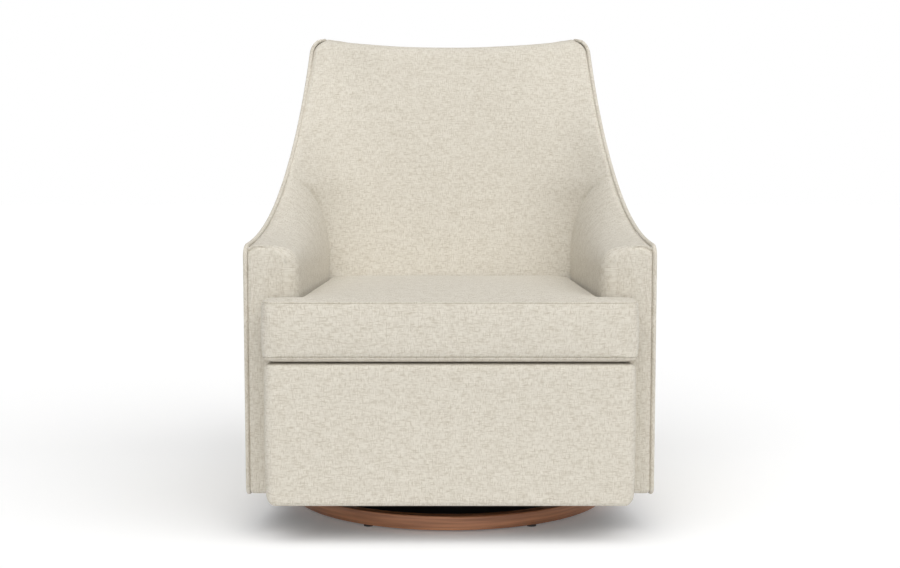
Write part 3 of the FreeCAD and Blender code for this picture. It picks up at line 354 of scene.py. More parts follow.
# %% Sizes
WIDTH, HEIGHT = 762 * MM, 965 * MM
Y_ARM = -329 * MM
BODY_BOTTOM = 72 * MM
DECK_TOP = 335.8 * MM
PAD_SIDE = 8.3 * MM
WELT_RADIUS = 4 * MM
COS, SIN, TAN = math.cos(TAPER), math.sin(TAPER), math.tan(TAPER)
BACK_START, BACK_START_Z = 445 * MM, 450 * MM
LEAN = math.radians(21.5)
BACK_HUG = 366 * MM
WING_FLAT_HALF = 150 * MM
ARM_INNER_FRONT, ARM_INNER_TAPER = 280 * MM, math.radians(3.5)
TOP_ROUND, TOP_TALL, TOP_WHOLE, TOP_FADE = 19 * MM, 30 * MM, 9 * MM, 70 * MM
SIDE = [(0, 72, 16), (650.2, 72, 16), (756.2, 965, 25), (680.6, 958, 40), (539, 755.8, 999),
        (190, 554.3, 719), (0, 541, 24)]
SIDE = [tuple(v * MM for v in point) for point in SIDE]


# %% Lines with rounded corners
def unit(v):
    return v / np.linalg.norm(v)


def unit_rows(v):
    return v / np.maximum(np.linalg.norm(v, axis=-1, keepdims=True), 1e-9)


def run_length(line):
    """How far along its line each point lies."""
    return np.concatenate([[0], np.cumsum(np.linalg.norm(np.diff(line, axis=0), axis=1))])


def at_distances(line, far, places):
    return np.column_stack([np.interp(places, far, line[:, k]) for k in range(line.shape[1])])


def resample(line, count):
    """The same line with evenly spaced points."""
    far = run_length(line)
    return at_distances(line, far, np.linspace(0, far[-1], count))


def at_shares(line, shares):
    """Points of a line at shares of its length."""
    far = run_length(line)
    return at_distances(line, far, shares * far[-1])


def rounded_path(points, step, closed=True):
    """An outline of corners (two coordinates and a rounding), as evenly spaced points."""
    line = []
    for k, point in enumerate(points):
        p = np.array(point[:2], float)
        if not closed and k in (0, len(points) - 1):
            line.append(p[None])
            continue
        u = unit(np.array(points[k - 1][:2]) - p)
        w = unit(np.array(points[(k + 1) % len(points)][:2]) - p)
        half = math.acos(np.clip(u @ w, -1, 1)) / 2
        centre = p + unit(u + w) * point[2] / math.sin(half)
        a = p + u * point[2] / math.tan(half) - centre
        b = p + w * point[2] / math.tan(half) - centre
        start = math.atan2(a[1], a[0])
        turn = (math.atan2(b[1], b[0]) - start + math.pi) % (2 * math.pi) - math.pi
        count = max(4, math.ceil(abs(turn) * point[2] / step * 2))
        angles = start + turn * np.linspace(0, 1, count)
        line.append(centre + point[2] * np.column_stack([np.cos(angles), np.sin(angles)]))
    line = np.vstack(line + ([line[0][:1]] if closed else []))
    long = np.linalg.norm(np.diff(line, axis=0), axis=1).sum()
    even = resample(line, max(3, round(long / step) + 1))
    return even[:-1] if closed else even


def outward(path):
    """Normals of a closed flat path that runs counter-clockwise."""
    along = unit_rows(np.roll(path, -1, 0) - np.roll(path, 1, 0))
    return np.column_stack([along[:, 1], -along[:, 0]])


upper_edge = rounded_path([SIDE[6], SIDE[5], SIDE[4], SIDE[3], SIDE[2]], 1 * MM, closed=False)


def swoop_height(d):
    return np.interp(d / COS, upper_edge[:, 0], upper_edge[:, 1])


def swoop_depth(z):
    return np.interp(z, upper_edge[:, 1], upper_edge[:, 0]) * COS


def side_x(d, depth_in):
    return WIDTH / 2 - d * TAN - depth_in / COS


def arm_inner(d):
    return ARM_INNER_FRONT - d * math.tan(ARM_INNER_TAPER)


def on_side(s, z, out, hand):
    """From the side outline's own plane into the chair's frame; hand is 1 for +X, -1 for -X."""
    return np.column_stack([hand * (WIDTH / 2 - s * SIN + out * COS), Y_ARM + s * COS + out * SIN, z + 0 * s])


def round_top(points):
    """Bend the two top corners of the chair in along an arc."""
    points = np.array(points, float)
    s = (points[..., 1] - Y_ARM) / COS
    (rear_s, rear_z), (front_s, front_z) = SIDE[2][:2], SIDE[3][:2]
    top = rear_z + (s - rear_s) * (rear_z - front_z) / (rear_s - front_s) - WELT_RADIUS
    below = np.clip(top - points[..., 2], 0, TOP_TALL)
    turn = below / TOP_TALL * math.pi / 2
    from_side = WIDTH / 2 - s * SIN - np.abs(points[..., 0])
    near = np.clip(1 - (from_side - TOP_WHOLE) / TOP_FADE, 0, 1)
    points[..., 0] -= np.sign(points[..., 0]) * near * TOP_ROUND * (1 - np.sin(turn))
    points[..., 2] += near * (below - TOP_TALL * (1 - np.cos(turn)))
    return points


print("arm top at the front and at the back:", np.round(swoop_height(np.array([0, 400 * MM])), 3))


# %% [markdown]
# ## Helpers for cloth pieces
# Covers come in two kinds. A panel is a flat outline that is filled with triangles and pillows a little
# in the middle. A sheet is a grid of rows and columns that bends in space. Each gets a second layer, the
# far side of its padding, and the two layers are joined along the border, so every cover is closed.
# Both carry the weave map, in metres, so the threads have the same size everywhere.

# %% Build a mesh
def new_piece(name, verts, faces, weave, cloth):
    mesh = bpy.data.meshes.new(name)
    mesh.from_pydata(np.asarray(verts).tolist(), [], faces)
    corners = np.zeros(len(mesh.loops), np.int32)
    mesh.loops.foreach_get("vertex_index", corners)
    layer = mesh.uv_layers.new(name="weave")
    layer.data.foreach_set("uv", np.asarray(weave, np.float32)[corners].ravel())
    mesh.materials.append(cloth)
    mesh.shade_smooth()
    piece = bpy.data.objects.new(name, mesh)
    scene.collection.objects.link(piece)
    return piece


def face_out(piece):
    """Turn all faces of a closed piece outwards."""
    work = bmesh.new()
    work.from_mesh(piece.data)
    bmesh.ops.remove_doubles(work, verts=work.verts, dist=0.01 * MM)
    bmesh.ops.recalc_face_normals(work, faces=work.faces)
    work.to_mesh(piece.data)
    work.free()
    piece.data.set_sharp_from_angle(angle=math.radians(62))


def settle(piece):
    """Make the modifiers' result the piece's own mesh."""
    made = bpy.data.meshes.new_from_object(piece.evaluated_get(bpy.context.evaluated_depsgraph_get()))
    piece.modifiers.clear()
    piece.data = made
    return piece


def tell(piece):
    size = [round(v, 3) for v in piece.dimensions]
    print(piece.name, len(piece.data.polygons), "faces, size", size)


def closed_piece(name, front, back, faces, border, threads, cloth):
    """A front and a back with the same points, joined along their border."""
    count = len(front)
    turned = [tuple(v + count for v in reversed(f)) for f in faces]
    sides = [(a, a + count, b + count, b) for a, b in zip(border, border[1:] + border[:1])]
    points = np.vstack([front, back])
    piece = new_piece(name, points, faces + turned + sides, np.vstack([threads, threads]), cloth)
    face_out(piece)
    tell(piece)
    return piece


# %% How cloth sinks, swells and wanders
def valley(gap, depth, reach):
    """How deep cloth sinks at a distance from the seam that pulls it down."""
    return depth * np.exp(-(gap / reach) ** 2)


def pillow(gap, crown, reach=28 * MM):
    """How high padding lifts cloth at a distance from its edge."""
    return crown * (1 - np.exp(-gap / reach))


def wavy(places, length, seed):
    """Slow unevenness, between -1 and 1, for cloth that was pulled over padding by hand."""
    shift = Vector((seed * 3.7, seed * 1.9, seed * 5.3))
    each = [noise.noise(Vector(p) / length + shift) for p in places.reshape(-1, 3)]
    return np.array(each).reshape(places.shape[:-1])


# %% Sheets
def sheet_normals(grid):
    """One normal for each point of a grid, towards the side from which columns run left to right."""
    return unit_rows(np.cross(np.gradient(grid, axis=1), np.gradient(grid, axis=0)))


def sheet_weave(grid, middle):
    """Lay the threads out in metres: across from the middle column, up along the middle column."""
    across = np.linalg.norm(np.diff(grid, axis=1), axis=2)
    across = np.concatenate([np.zeros((len(grid), 1)), np.cumsum(across, axis=1)], axis=1)
    across -= across[:, middle][:, None]
    return np.dstack([across, np.repeat(run_length(grid[:, middle])[:, None], grid.shape[1], 1)])


def grid_faces(rows, columns):
    """Four-cornered faces of a grid whose points are numbered row by row."""
    return [(r * columns + c, r * columns + c + 1, (r + 1) * columns + c + 1, (r + 1) * columns + c)
            for r in range(rows - 1) for c in range(columns - 1)]


def sheet_piece(name, grid, weave, pad, cloth):
    """A grid as a padded piece; pad, one size or one for each axis, grows away from the side that is seen."""
    rows, columns = grid.shape[:2]
    number = np.arange(rows * columns).reshape(rows, columns)
    border = np.concatenate([number[0], number[1:, -1], number[-1, -2::-1], number[-2:0:-1, 0]]).tolist()
    inner = grid - sheet_normals(grid) * np.asarray(pad)
    return closed_piece(name, grid.reshape(-1, 3), inner.reshape(-1, 3), grid_faces(rows, columns), border,
                        weave.reshape(-1, 2), cloth)


# %% Panels
def edge_distance(points, outline):
    """Distance of each point to a closed outline, and the outline point that is nearest."""
    gaps = np.linalg.norm(points[:, None] - outline[None], axis=2)
    nearest = gaps.argmin(1)
    return gaps[np.arange(len(points)), nearest], nearest


def inside(points, outline):
    """Which points lie inside a closed outline."""
    x, y = points[:, 0:1], points[:, 1:2]
    x0, y0 = outline[:, 0], outline[:, 1]
    x1, y1 = np.roll(x0, -1), np.roll(y0, -1)
    crosses = (y0 > y) != (y1 > y)
    where = x0 + (y - y0) * (x1 - x0) / np.where(y1 == y0, 1e-12, y1 - y0)
    return (crosses & (x < where)).sum(1) % 2 == 1


def filled(outline, spacing, rings):
    """Fill an outline with triangles: close rings along its edge, then an even grid."""
    normal = outward(outline)
    kept = [outline]
    for ring in rings:
        moved = outline - normal * ring
        kept.append(moved[(edge_distance(moved, outline)[0] > 0.93 * ring) & inside(moved, outline)])
    low, high = outline.min(0), outline.max(0)
    xs = np.arange(low[0] + spacing / 2, high[0], spacing)
    ys = np.arange(low[1] + spacing / 2, high[1], spacing)
    grid = np.array([(x, y) for x in xs for y in ys])
    far = edge_distance(grid, outline)[0]
    kept.append(grid[inside(grid, outline) & (far > rings[-1] + 0.6 * spacing)])
    points = np.vstack(kept)
    count = len(outline)
    edges = [(k, (k + 1) % count) for k in range(count)]
    made = geometry.delaunay_2d_cdt([Vector(p) for p in points], edges, [], 1, 1e-7)
    order = {old: new for new, olds in enumerate(made[3]) for old in olds}
    rim = [order[k] for k in range(count)]
    return np.array([tuple(v) for v in made[0]]), [tuple(f) for f in made[2]], rim


EDGE_RINGS = (1.5 * MM, 3.5 * MM, 6 * MM, 9.5 * MM, 14 * MM)
PANEL_SEAM, PANEL_WAVE, PANEL_UNEVEN, PANEL_FADE = 4.5 * MM, 90 * MM, 0.5 * MM, 20 * MM


def panel_piece(name, outline, place, crown, dip, thick, cloth, spacing, seed):
    """A closed panel: it pillows up from its edge, where the seam pulls it down by dip."""
    points, faces, rim = filled(outline, spacing, EDGE_RINGS)
    far = edge_distance(points, outline)[0]
    uneven = PANEL_UNEVEN * wavy(np.column_stack([points, 0 * far]), PANEL_WAVE, seed)
    rise = pillow(far, crown) - valley(far, dip, PANEL_SEAM) + uneven * np.clip(far / PANEL_FADE, 0, 1)
    back = place(points, np.full(len(points), -thick))
    return closed_piece(name, place(points, rise), back, faces, rim, points, cloth)


# %% [markdown]
# ## Piping and straps
# Piping is a cord wrapped in a strip of the cover and sewn into a seam. It follows a path and never
# changes its section, which is what Geometry Nodes do best: the tree sweeps a circle along the path and
# lays the weave map on it, turned by half a right angle, because such strips are cut on the bias.
# A second tree lays flat straps the same way.

# %% A Geometry Nodes tree with named sizes
def new_tree(name, sizes):
    made = bpy.data.node_groups.new(name, "GeometryNodeTree")
    made.interface.new_socket("Geometry", in_out="INPUT", socket_type="NodeSocketGeometry")
    for label, value in sizes.items():
        kind = "NodeSocketInt" if isinstance(value, int) else "NodeSocketFloat"
        made.interface.new_socket(label, in_out="INPUT", socket_type=kind).default_value = value
    made.interface.new_socket("Finish", in_out="INPUT", socket_type="NodeSocketMaterial")
    made.interface.new_socket("Geometry", in_out="OUTPUT", socket_type="NodeSocketGeometry")
    return made, node(made, "NodeGroupInput").outputs


def end_tree(made, shape, given):
    """Every tree ends alike: real geometry, smooth faces and one finish."""
    real = node(made, "GeometryNodeRealizeInstances", {0: shape}).outputs[0]
    smooth = node(made, "GeometryNodeSetShadeSmooth", {0: real}).outputs[0]
    dressed = node(made, "GeometryNodeSetMaterial", {"Geometry": smooth, "Material": given["Finish"]})
    node(made, "NodeGroupOutput", {0: dressed.outputs[0]})
    return made


def grow(name, path, made, cloth, closed=True, **sizes):
    """Run a tree on one or more paths and keep the result as a plain mesh piece."""
    paths = path if isinstance(path, list) else [path]
    verts, edges = [], []
    for line in paths:
        first = len(verts)
        verts += np.asarray(line).tolist()
        edges += [(first + k, first + k + 1) for k in range(len(line) - 1)]
        if closed:
            edges.append((first + len(line) - 1, first))
    mesh = bpy.data.meshes.new(name)
    mesh.from_pydata(verts, edges, [])
    piece = bpy.data.objects.new(name, mesh)
    scene.collection.objects.link(piece)
    run = piece.modifiers.new("tree", "NODES")
    run.node_group = made
    for item in made.interface.items_tree:
        if item.in_out == "INPUT" and item.name == "Finish":
            run[item.identifier] = cloth
        elif item.in_out == "INPUT" and item.name.replace(" ", "_").lower() in sizes:
            run[item.identifier] = sizes[item.name.replace(" ", "_").lower()]
    settle(piece)
    tell(piece)
    return piece


# %% Sweep a section along a path
def sweep_tree(name, sizes, section, bias):
    """A tree that sweeps a closed section along a path and lays the weave map on the result."""
    made, given = new_tree(name, sizes)
    line = node(made, "GeometryNodeMeshToCurve", {0: given["Geometry"]}).outputs[0]
    profile = section(made, given)
    kept = []
    for shape, label in ((line, "Along"), (profile, "Round")):
        catch = node(made, "GeometryNodeCaptureAttribute")
        catch.capture_items.new("FLOAT", label)
        made.links.new(shape, catch.inputs[0])
        made.links.new(node(made, "GeometryNodeSplineParameter").outputs["Length"], catch.inputs[1])
        kept.append(catch.outputs)
    swept = node(made, "GeometryNodeCurveToMesh", {"Curve": kept[0][0], "Profile Curve": kept[1][0],
                                                   "Fill Caps": True}).outputs[0]
    flat = node(made, "ShaderNodeCombineXYZ", {0: kept[0][1], 1: kept[1][1]}).outputs[0]
    turned = node(made, "ShaderNodeVectorRotate", {"Vector": flat, "Angle": bias}, rotation_type="Z_AXIS")
    mapped = node(made, "GeometryNodeStoreNamedAttribute", {"Geometry": swept, "Name": "weave"},
                  data_type="FLOAT2", domain="CORNER")
    port = [s for s in mapped.inputs if s.name == "Value" and s.enabled][0]
    made.links.new(turned.outputs[0], port)
    return end_tree(made, mapped.outputs[0], given)


def round_section(made, given):
    sizes = {"Resolution": given["Sides"], "Radius": given["Cord Radius"]}
    return node(made, "GeometryNodeCurvePrimitiveCircle", sizes).outputs[0]


def flat_section(made, given):
    sizes = {"Width": given["Strap Width"], "Height": given["Thickness"]}
    return node(made, "GeometryNodeCurvePrimitiveQuadrilateral", sizes).outputs[0]


piping_tree = sweep_tree("Piping along an edge", {"Cord Radius": WELT_RADIUS, "Sides": 14}, round_section,
                         math.radians(45))
strap_tree = sweep_tree("Straps along a back", {"Strap Width": 50 * MM, "Thickness": 2 * MM}, flat_section,
                        0.0)
print("trees:", [t.name for t in bpy.data.node_groups])

# %% Keep a piece
SIDES = {"left": -1, "right": 1}


def keep(piece, body, cloth_slot, *stands_for, fill=None):
    """Hang a finished piece on its body and hide the solids that it stands for."""
    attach(piece, body)
    if stands_for:
        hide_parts(*stands_for)


# %% [markdown]
# ## Sides: piping and outside arms
# The side of the chair is one stretched panel inside a ring of piping. The panel is filled to the side
# outline, drawn in by the width of the piping, and pillows by a few millimetres over its padding.

# %% Piping round both sides
side_path = rounded_path(SIDE, 4 * MM)
side_normal = outward(side_path)
cord_path = side_path - side_normal * WELT_RADIUS
for name, hand in SIDES.items():
    ring = round_top(on_side(cord_path[:, 0], cord_path[:, 1], -WELT_RADIUS, hand))
    piping = grow("piping_" + name, ring, piping_tree, linen)
    keep(piping, "chair_body", "linen_cover", "side_welt_" + name)

# %% Outside arms
PANEL_INSET, PANEL_BACK = PAD_SIDE - 0.6 * MM, 4.5 * MM
panel_path = side_path - side_normal * PANEL_INSET
for name, hand in SIDES.items():
    def place(points, rise, hand=hand):
        return round_top(on_side(points[:, 0], points[:, 1], rise - PANEL_BACK, hand))
    cover = panel_piece("outside_arm_cover_" + name, panel_path, place, crown=3.2 * MM, dip=2.5 * MM,
                        thick=3.5 * MM, cloth=linen, spacing=11 * MM, seed=2.0 + hand)
    keep(cover, "chair_body", "linen_cover", "outside_arm_" + name, fill=0.9)

# %% [markdown]
# ## Inside back
# The back is one sheet of cover: it hugs the sitter between the arms, runs out to the piping of the wings
# and rolls over the top to the rear. Each level line bends through seven points, and above the last level
# every column goes on over the rounded top edge, which dips in the middle.

# %% Level lines of the back
SHOULDER_AHEAD, BOW_SHARE, BOW_LEAST = 4 * MM, 0.14, 6 * MM
BEHIND_ARM_INSET, BEHIND_ARM_FADE = 16 * MM, 30 * MM


def bend_through(points, stations):
    """A smooth line through points, read at shares of its length."""
    p = np.vstack([2 * points[0] - points[1], points, 2 * points[-1] - points[-2]])
    t = np.linspace(0, 1, 24, endpoint=False)[:, None]
    line = []
    for a, b, c, d in zip(p, p[1:], p[2:], p[3:]):
        line.append(0.5 * (2 * b + (c - a) * t + (2 * a - 5 * b + 4 * c - d) * t ** 2
                           + (3 * b - a - 3 * c + d) * t ** 3))
    return at_shares(np.vstack(line + [points[-1:]]), stations)


def back_depth(z):
    return BACK_START + (z - BACK_START_Z) * math.tan(LEAN)


def level_line(z, stations):
    """Across the back at one height: x and depth, from the left piping to the right."""
    middle = back_depth(z)
    hug = max(swoop_depth(z), BACK_HUG)
    behind_arm = np.clip((BACK_HUG - swoop_depth(z)) / BEHIND_ARM_FADE, 0, 1)
    side = side_x(hug, PAD_SIDE + BEHIND_ARM_INSET * behind_arm)
    shoulder = middle - SHOULDER_AHEAD
    bow = max(BOW_SHARE * (shoulder - hug) + BOW_LEAST, 0)
    bend = ((side + WING_FLAT_HALF) / 2 + bow / 2, (shoulder + hug) / 2 + bow)
    half = [(WING_FLAT_HALF, shoulder), bend, (side, hug)]
    points = [(-x, d) for x, d in reversed(half)] + [(0, middle)] + half
    return bend_through(np.array(points), stations)


BACK_WIDE, BACK_LOW, ROLL_START, LEVEL_STEP = 750 * MM, 346 * MM, 898 * MM, 4 * MM
NEAR_EDGE, EVEN_FROM = np.array([0, 1.5, 3.5, 6, 9.5, 13.5]) * MM, 17.5 * MM
near, even = NEAR_EDGE / BACK_WIDE, EVEN_FROM / BACK_WIDE
columns = np.concatenate([near, np.linspace(even, 1 - even, 179), 1 - near[::-1]])
MIDDLE = len(columns) // 2
levels = np.arange(BACK_LOW, ROLL_START + 1e-6, LEVEL_STEP)
rows = [np.insert(level_line(z, columns), 2, z, axis=1) for z in levels]
print("level lines:", len(rows), "with", len(columns), "points each")

# %% Over the top
CREST_HALF, CREST_DIP, WING_DIP = side_x(SIDE[2][0] * COS, 0), 26 * MM, 7 * MM
REAR_INSET, TOP_SEAM_DROP = 3 * MM, 30 * MM
TOP_FRONT_ROUND, TOP_REAR_ROUND = 36 * MM, 25 * MM
TOP_ROWS, SMOOTHING = 46, 14


def crest_height(x):
    return HEIGHT - CREST_DIP * (1 - (x / CREST_HALF) ** 2)


def rear_depth(z):
    run, tall = SIDE[2][0] - SIDE[1][0], HEIGHT - BODY_BOTTOM
    return (SIDE[1][0] + (z - BODY_BOTTOM) * run / tall) * COS - REAR_INSET


over = np.zeros((TOP_ROWS, len(columns), 3))
for c in range(len(columns)):
    x0, d0, z0 = rows[-1][c]
    lean = (rows[-1][c] - rows[-6][c])[1:]
    share = x0 / side_x(d0, PAD_SIDE)
    z2 = crest_height(share * CREST_HALF)
    z1 = z2 - WING_DIP * share ** 2
    d1 = d0 + lean[0] / lean[1] * (z1 - z0)
    line = rounded_path([(d0, z0), (d1, z1, TOP_FRONT_ROUND), (rear_depth(z2), z2, TOP_REAR_ROUND),
                         (rear_depth(z2 - TOP_SEAM_DROP), z2 - TOP_SEAM_DROP)], 2 * MM, closed=False)
    line = resample(line, TOP_ROWS + 1)[1:]
    over[:, c] = np.column_stack([share * side_x(line[:, 0], PAD_SIDE), line])
back = np.concatenate([np.array(rows), over])
for step in range(SMOOTHING):
    back[1:-1] = 0.5 * back[1:-1] + 0.25 * (back[2:] + back[:-2])
back[..., 1] += Y_ARM
back = round_top(back)
print("inside back grid:", back.shape)

# %% [markdown]
# ## Arms
# The cover of an arm starts at the outer piping, lies over the top, drops down the inside and turns round
# the soft inside corner to the front, all in one piece of cloth. Only the front of the top is sewn: that
# seam is crisp at the piping and fades where the corner begins. Beside the piping, top and front bend along
# its rounded corner. Towards the back the top falls inwards more and more, until the cover meets the inside
# back in a seam that climbs to the piping of the wing.

# %% One line across the arm
ARM_SEAM_D = BACK_HUG + 30 * MM
ARM_LOW = DECK_TOP + 1 * MM
ARM_ACROSS, ARM_LONG = 300 * MM, 420 * MM


def arm_top(d):
    return swoop_height(min(d, ARM_SEAM_D)) - 1.5 * MM


def arm_line(d, stations):
    """Across the arm at one depth: from the piping in one bend to the inner face, then straight down."""
    share = min(d / ARM_SEAM_D, 1)
    front_top, rear_top = arm_top(0), arm_top(ARM_SEAM_D)

    def between(front, rear):
        return front + (rear - front) * share

    sag = arm_top(d) - between(front_top, rear_top)
    outer, inner = side_x(d, PAD_SIDE), arm_inner(d)
    leave_x = outer - between(outer - inner - 20 * MM, 50 * MM)
    leave_z = between(front_top + 3 * MM, rear_top - 49 * MM) + 0.6 * sag
    arrive_z = between(front_top - 9 * MM, rear_top - 116 * MM) + 0.3 * sag
    foot_z = between(front_top - 40 * MM, rear_top - 206 * MM)
    poles = np.array([(outer, arm_top(d)), (leave_x, leave_z), (inner, arrive_z), (inner, foot_z)])
    t = np.linspace(0, 1, 80)[:, None]
    weights = (1 - t) ** 3, 3 * t * (1 - t) ** 2, 3 * t ** 2 * (1 - t), t ** 3
    bend = sum(weight * pole for weight, pole in zip(weights, poles))
    return at_shares(np.vstack([bend, [(inner, ARM_LOW)]]), stations)


across_shares = np.concatenate([NEAR_EDGE / ARM_ACROSS, np.linspace(EVEN_FROM / ARM_ACROSS, 1, 92)])
from_piping = across_shares * ARM_ACROSS
arm_depths = np.linspace(0, 470 * MM, 120)
arm_table = np.array([arm_line(d, across_shares) for d in arm_depths])
print("arm lines:", arm_table.shape)


# %% From the front to the seam with the back
def back_at(x, z):
    """Depth of the inside back at one place."""
    line = level_line(z, columns)
    return np.interp(x, line[:, 0], line[:, 1])


ends = np.full(len(across_shares), ARM_SEAM_D)
for step in range(8):
    for c in range(len(ends)):
        x, z = [np.interp(ends[c], arm_depths, arm_table[:, c, k]) for k in (0, 1)]
        ends[c] = back_at(x, z)
near_ends = np.array([0, 0.8, 2, 3.5, 5.5, 8, 11, 14.5, 18.5, 23, 28]) * MM
even = np.arange(32 * MM, ARM_LONG - 30 * MM, 4 * MM)
shares = np.concatenate([near_ends, even, ARM_LONG - near_ends[::-1]]) / ARM_LONG
depth = shares[:, None] * ends[None]
arm = np.dstack([depth, depth, depth])
for c in range(len(ends)):
    for axis, k in ((0, 0), (2, 1)):
        arm[:, c, axis] = np.interp(depth[:, c], arm_depths, arm_table[:, c, k])
print("seam with the back: height at the piping", np.round(arm[-1, 0, 2], 3), "depth", np.round(ends.max(), 3))

# %% Soft inside corner, crisp top seam
CORNER_SOFT = 24 * MM
SEAM_SINK, SEAM_SET_BACK = (1.6 * MM, 2.4 * MM), (2 * MM, 4 * MM)
SEAM_PULL = (0, 2.0 * MM, -2.6 * MM)


def arm_normals(grid):
    """Normals that look away from the padding, told by a point low on the inner face."""
    made = sheet_normals(grid)
    return made * -np.sign(made[40, -1, 0])


def ease(start, reach):
    """From 0 to 1 between two distances from the piping."""
    t = np.clip((from_piping - start) / reach, 0, 1)
    return t * t * (3 - 2 * t)


soft = ease(32 * MM, 58 * MM)
sewn = 1 - ease(32 * MM, 24 * MM)
flat_out = unit_rows(arm_normals(arm) * (1, 0, 1))
draw_in = CORNER_SOFT - np.sqrt(np.maximum(CORNER_SOFT ** 2 - np.maximum(CORNER_SOFT - depth, 0) ** 2, 0))
arm = arm - flat_out * (draw_in * soft)[..., None]
arm[..., 2] -= valley(depth, *SEAM_SINK) * sewn
arm[..., 1] += valley(depth, *SEAM_SET_BACK) * sewn
arm[0] += np.outer(sewn, SEAM_PULL)
front_line = arm[0][:, [0, 2]].copy()
print("arm front, outer and inner x:", np.round(front_line[[0, -1], 0], 3))

# %% Round the corner at the piping
CORNER, CORNER_NEAR = SIDE[6][2], 11 * MM
CORNER_LOW = SIDE[6][1] - CORNER


def to_the_arc(share, gap):
    """How far a point near the piping goes back and down, from a square corner onto the piping's arc."""
    turn = share * math.pi / 2
    near = valley(gap, CORNER, CORNER_NEAR)
    backwards = 1 - np.cos(turn) - np.maximum(2 * share - 1, 0)
    down = np.minimum(2 * share, 1) - np.sin(turn)
    return near * backwards, near * down


side_gap = np.repeat(from_piping[None], len(shares), 0)
go_back, go_down = to_the_arc(0.5 + 0.5 * np.clip(depth / CORNER, 0, 1), side_gap)
arm[..., 1] += Y_ARM + go_back
arm[..., 2] -= go_down
print("corner at the piping: rounded above z", round(CORNER_LOW, 3))

# %% [markdown]
# ## Where covers are sewn together
# Two covers are pulled into the seam between them. Each point near a seam sinks a little, and the nearer
# the deeper, so that the two meet in a narrow valley. The same happens along the piping. Every valley is
# written as its depth and its reach.

# %% Sink the seams
AT_PIPING, AT_TOP_SEAM = (4 * MM, 5.5 * MM), (3 * MM, 5 * MM)
BACK_AT_ARM, ARM_AT_BACK = (2.4 * MM, 4.5 * MM), (3.6 * MM, 1.9 * MM)
BACK_UNEVEN, BACK_WAVE, BACK_FADE = 0.9 * MM, 110 * MM, 25 * MM
TUCK_BACK, TUCK_UNDER, TUCK_IN = 9 * MM, 5 * MM, (10 * MM, 14 * MM)
seam = resample(arm[-1], 500)
seam_tree = kdtree.KDTree(2 * len(seam))
for k, point in enumerate(np.vstack([seam, seam * (-1, 1, 1)])):
    seam_tree.insert(point, k)
seam_tree.balance()
back_out = sheet_normals(back)
back_out *= -np.sign(back_out[60, MIDDLE, 1])
seam_gap = np.ones(back.shape[:2])
for r, c in np.argwhere((back[..., 2] < 700 * MM) & (np.abs(back[..., 0]) > 220 * MM)):
    seam_gap[r, c] = seam_tree.find(back[r, c])[2]
edge_gap = np.minimum(columns, 1 - columns) * BACK_WIDE
up = run_length(back[:, MIDDLE])
drop = valley(seam_gap, *BACK_AT_ARM) + valley(edge_gap, *AT_PIPING)[None]
drop += valley(up[-1] - up, *AT_TOP_SEAM)[:, None]
uneven = BACK_UNEVEN * wavy(back, BACK_WAVE, 4.0) * np.clip(edge_gap / BACK_FADE, 0, 1)
back = back + back_out * (uneven - drop)[..., None]
arm_out = arm_normals(arm)
drop = valley(side_gap, *AT_PIPING) * (1 - valley(depth, 1, 6 * MM))
drop += valley((1 - shares) * ARM_LONG, *ARM_AT_BACK)[:, None]
arm = arm - arm_out * drop[..., None]
tucked = arm[-1:] + (0, TUCK_BACK, 0) - arm_out[-1:] * TUCK_UNDER
tucked[..., 0] -= valley(from_piping, *TUCK_IN)
arm = np.concatenate([arm, tucked])
print("valleys along", len(seam), "seam points and the piping")

# %% Keep the inside back
back_cover = sheet_piece("inside_back_cover", back, sheet_weave(back, MIDDLE), (0, 14 * MM, 14 * MM), linen)
keep(back_cover, "chair_body", "linen_cover", "inside_back", fill=0.8)

# %% The arm's front
COVER_LOW = BODY_BOTTOM + 4 * MM
FRONT_SWELL, FRONT_SEAM, FRONT_SEAM_REACH = 1.2 * MM, 4.0 * MM, 2.2 * MM
inner_edge = front_line[-1, 0]
outer_edge = side_x(0, PAD_SIDE)
foot = rounded_path([(inner_edge, front_line[-1, 1]), (inner_edge, COVER_LOW, 5 * MM),
                     (outer_edge, COVER_LOW, 8 * MM), (outer_edge, front_line[0, 1])], 3 * MM, closed=False)
ring = np.vstack([front_line, foot[1:-1]])
held = np.concatenate([sewn, (foot[1:-1, 0] > inner_edge + 6 * MM).astype(float)])
front_points, front_faces, rim = filled(ring, 8 * MM, EDGE_RINGS)
gap, nearest = edge_distance(front_points, ring)
swell = pillow(gap, FRONT_SWELL) - valley(gap, FRONT_SEAM * held[nearest], FRONT_SEAM_REACH)
top_here = np.interp(front_points[:, 0], front_line[::-1, 0], front_line[::-1, 1])
up_to_top = np.clip((front_points[:, 1] - CORNER_LOW) / np.maximum(top_here - CORNER_LOW, MM), 0, 1)
go_back, go_down = to_the_arc(0.5 * up_to_top, outer_edge - front_points[:, 0])
front = np.column_stack([front_points[:, 0], Y_ARM - swell + go_back, front_points[:, 1] - go_down])
front[rim[:len(front_line)]] = arm[0]
print("arm front:", len(front), "points")


# %% [markdown]
# The top and the front of an arm share their seam line point for point, so they become one cloth. The
# Solidify modifier then pads both together, and no gap can open between them.

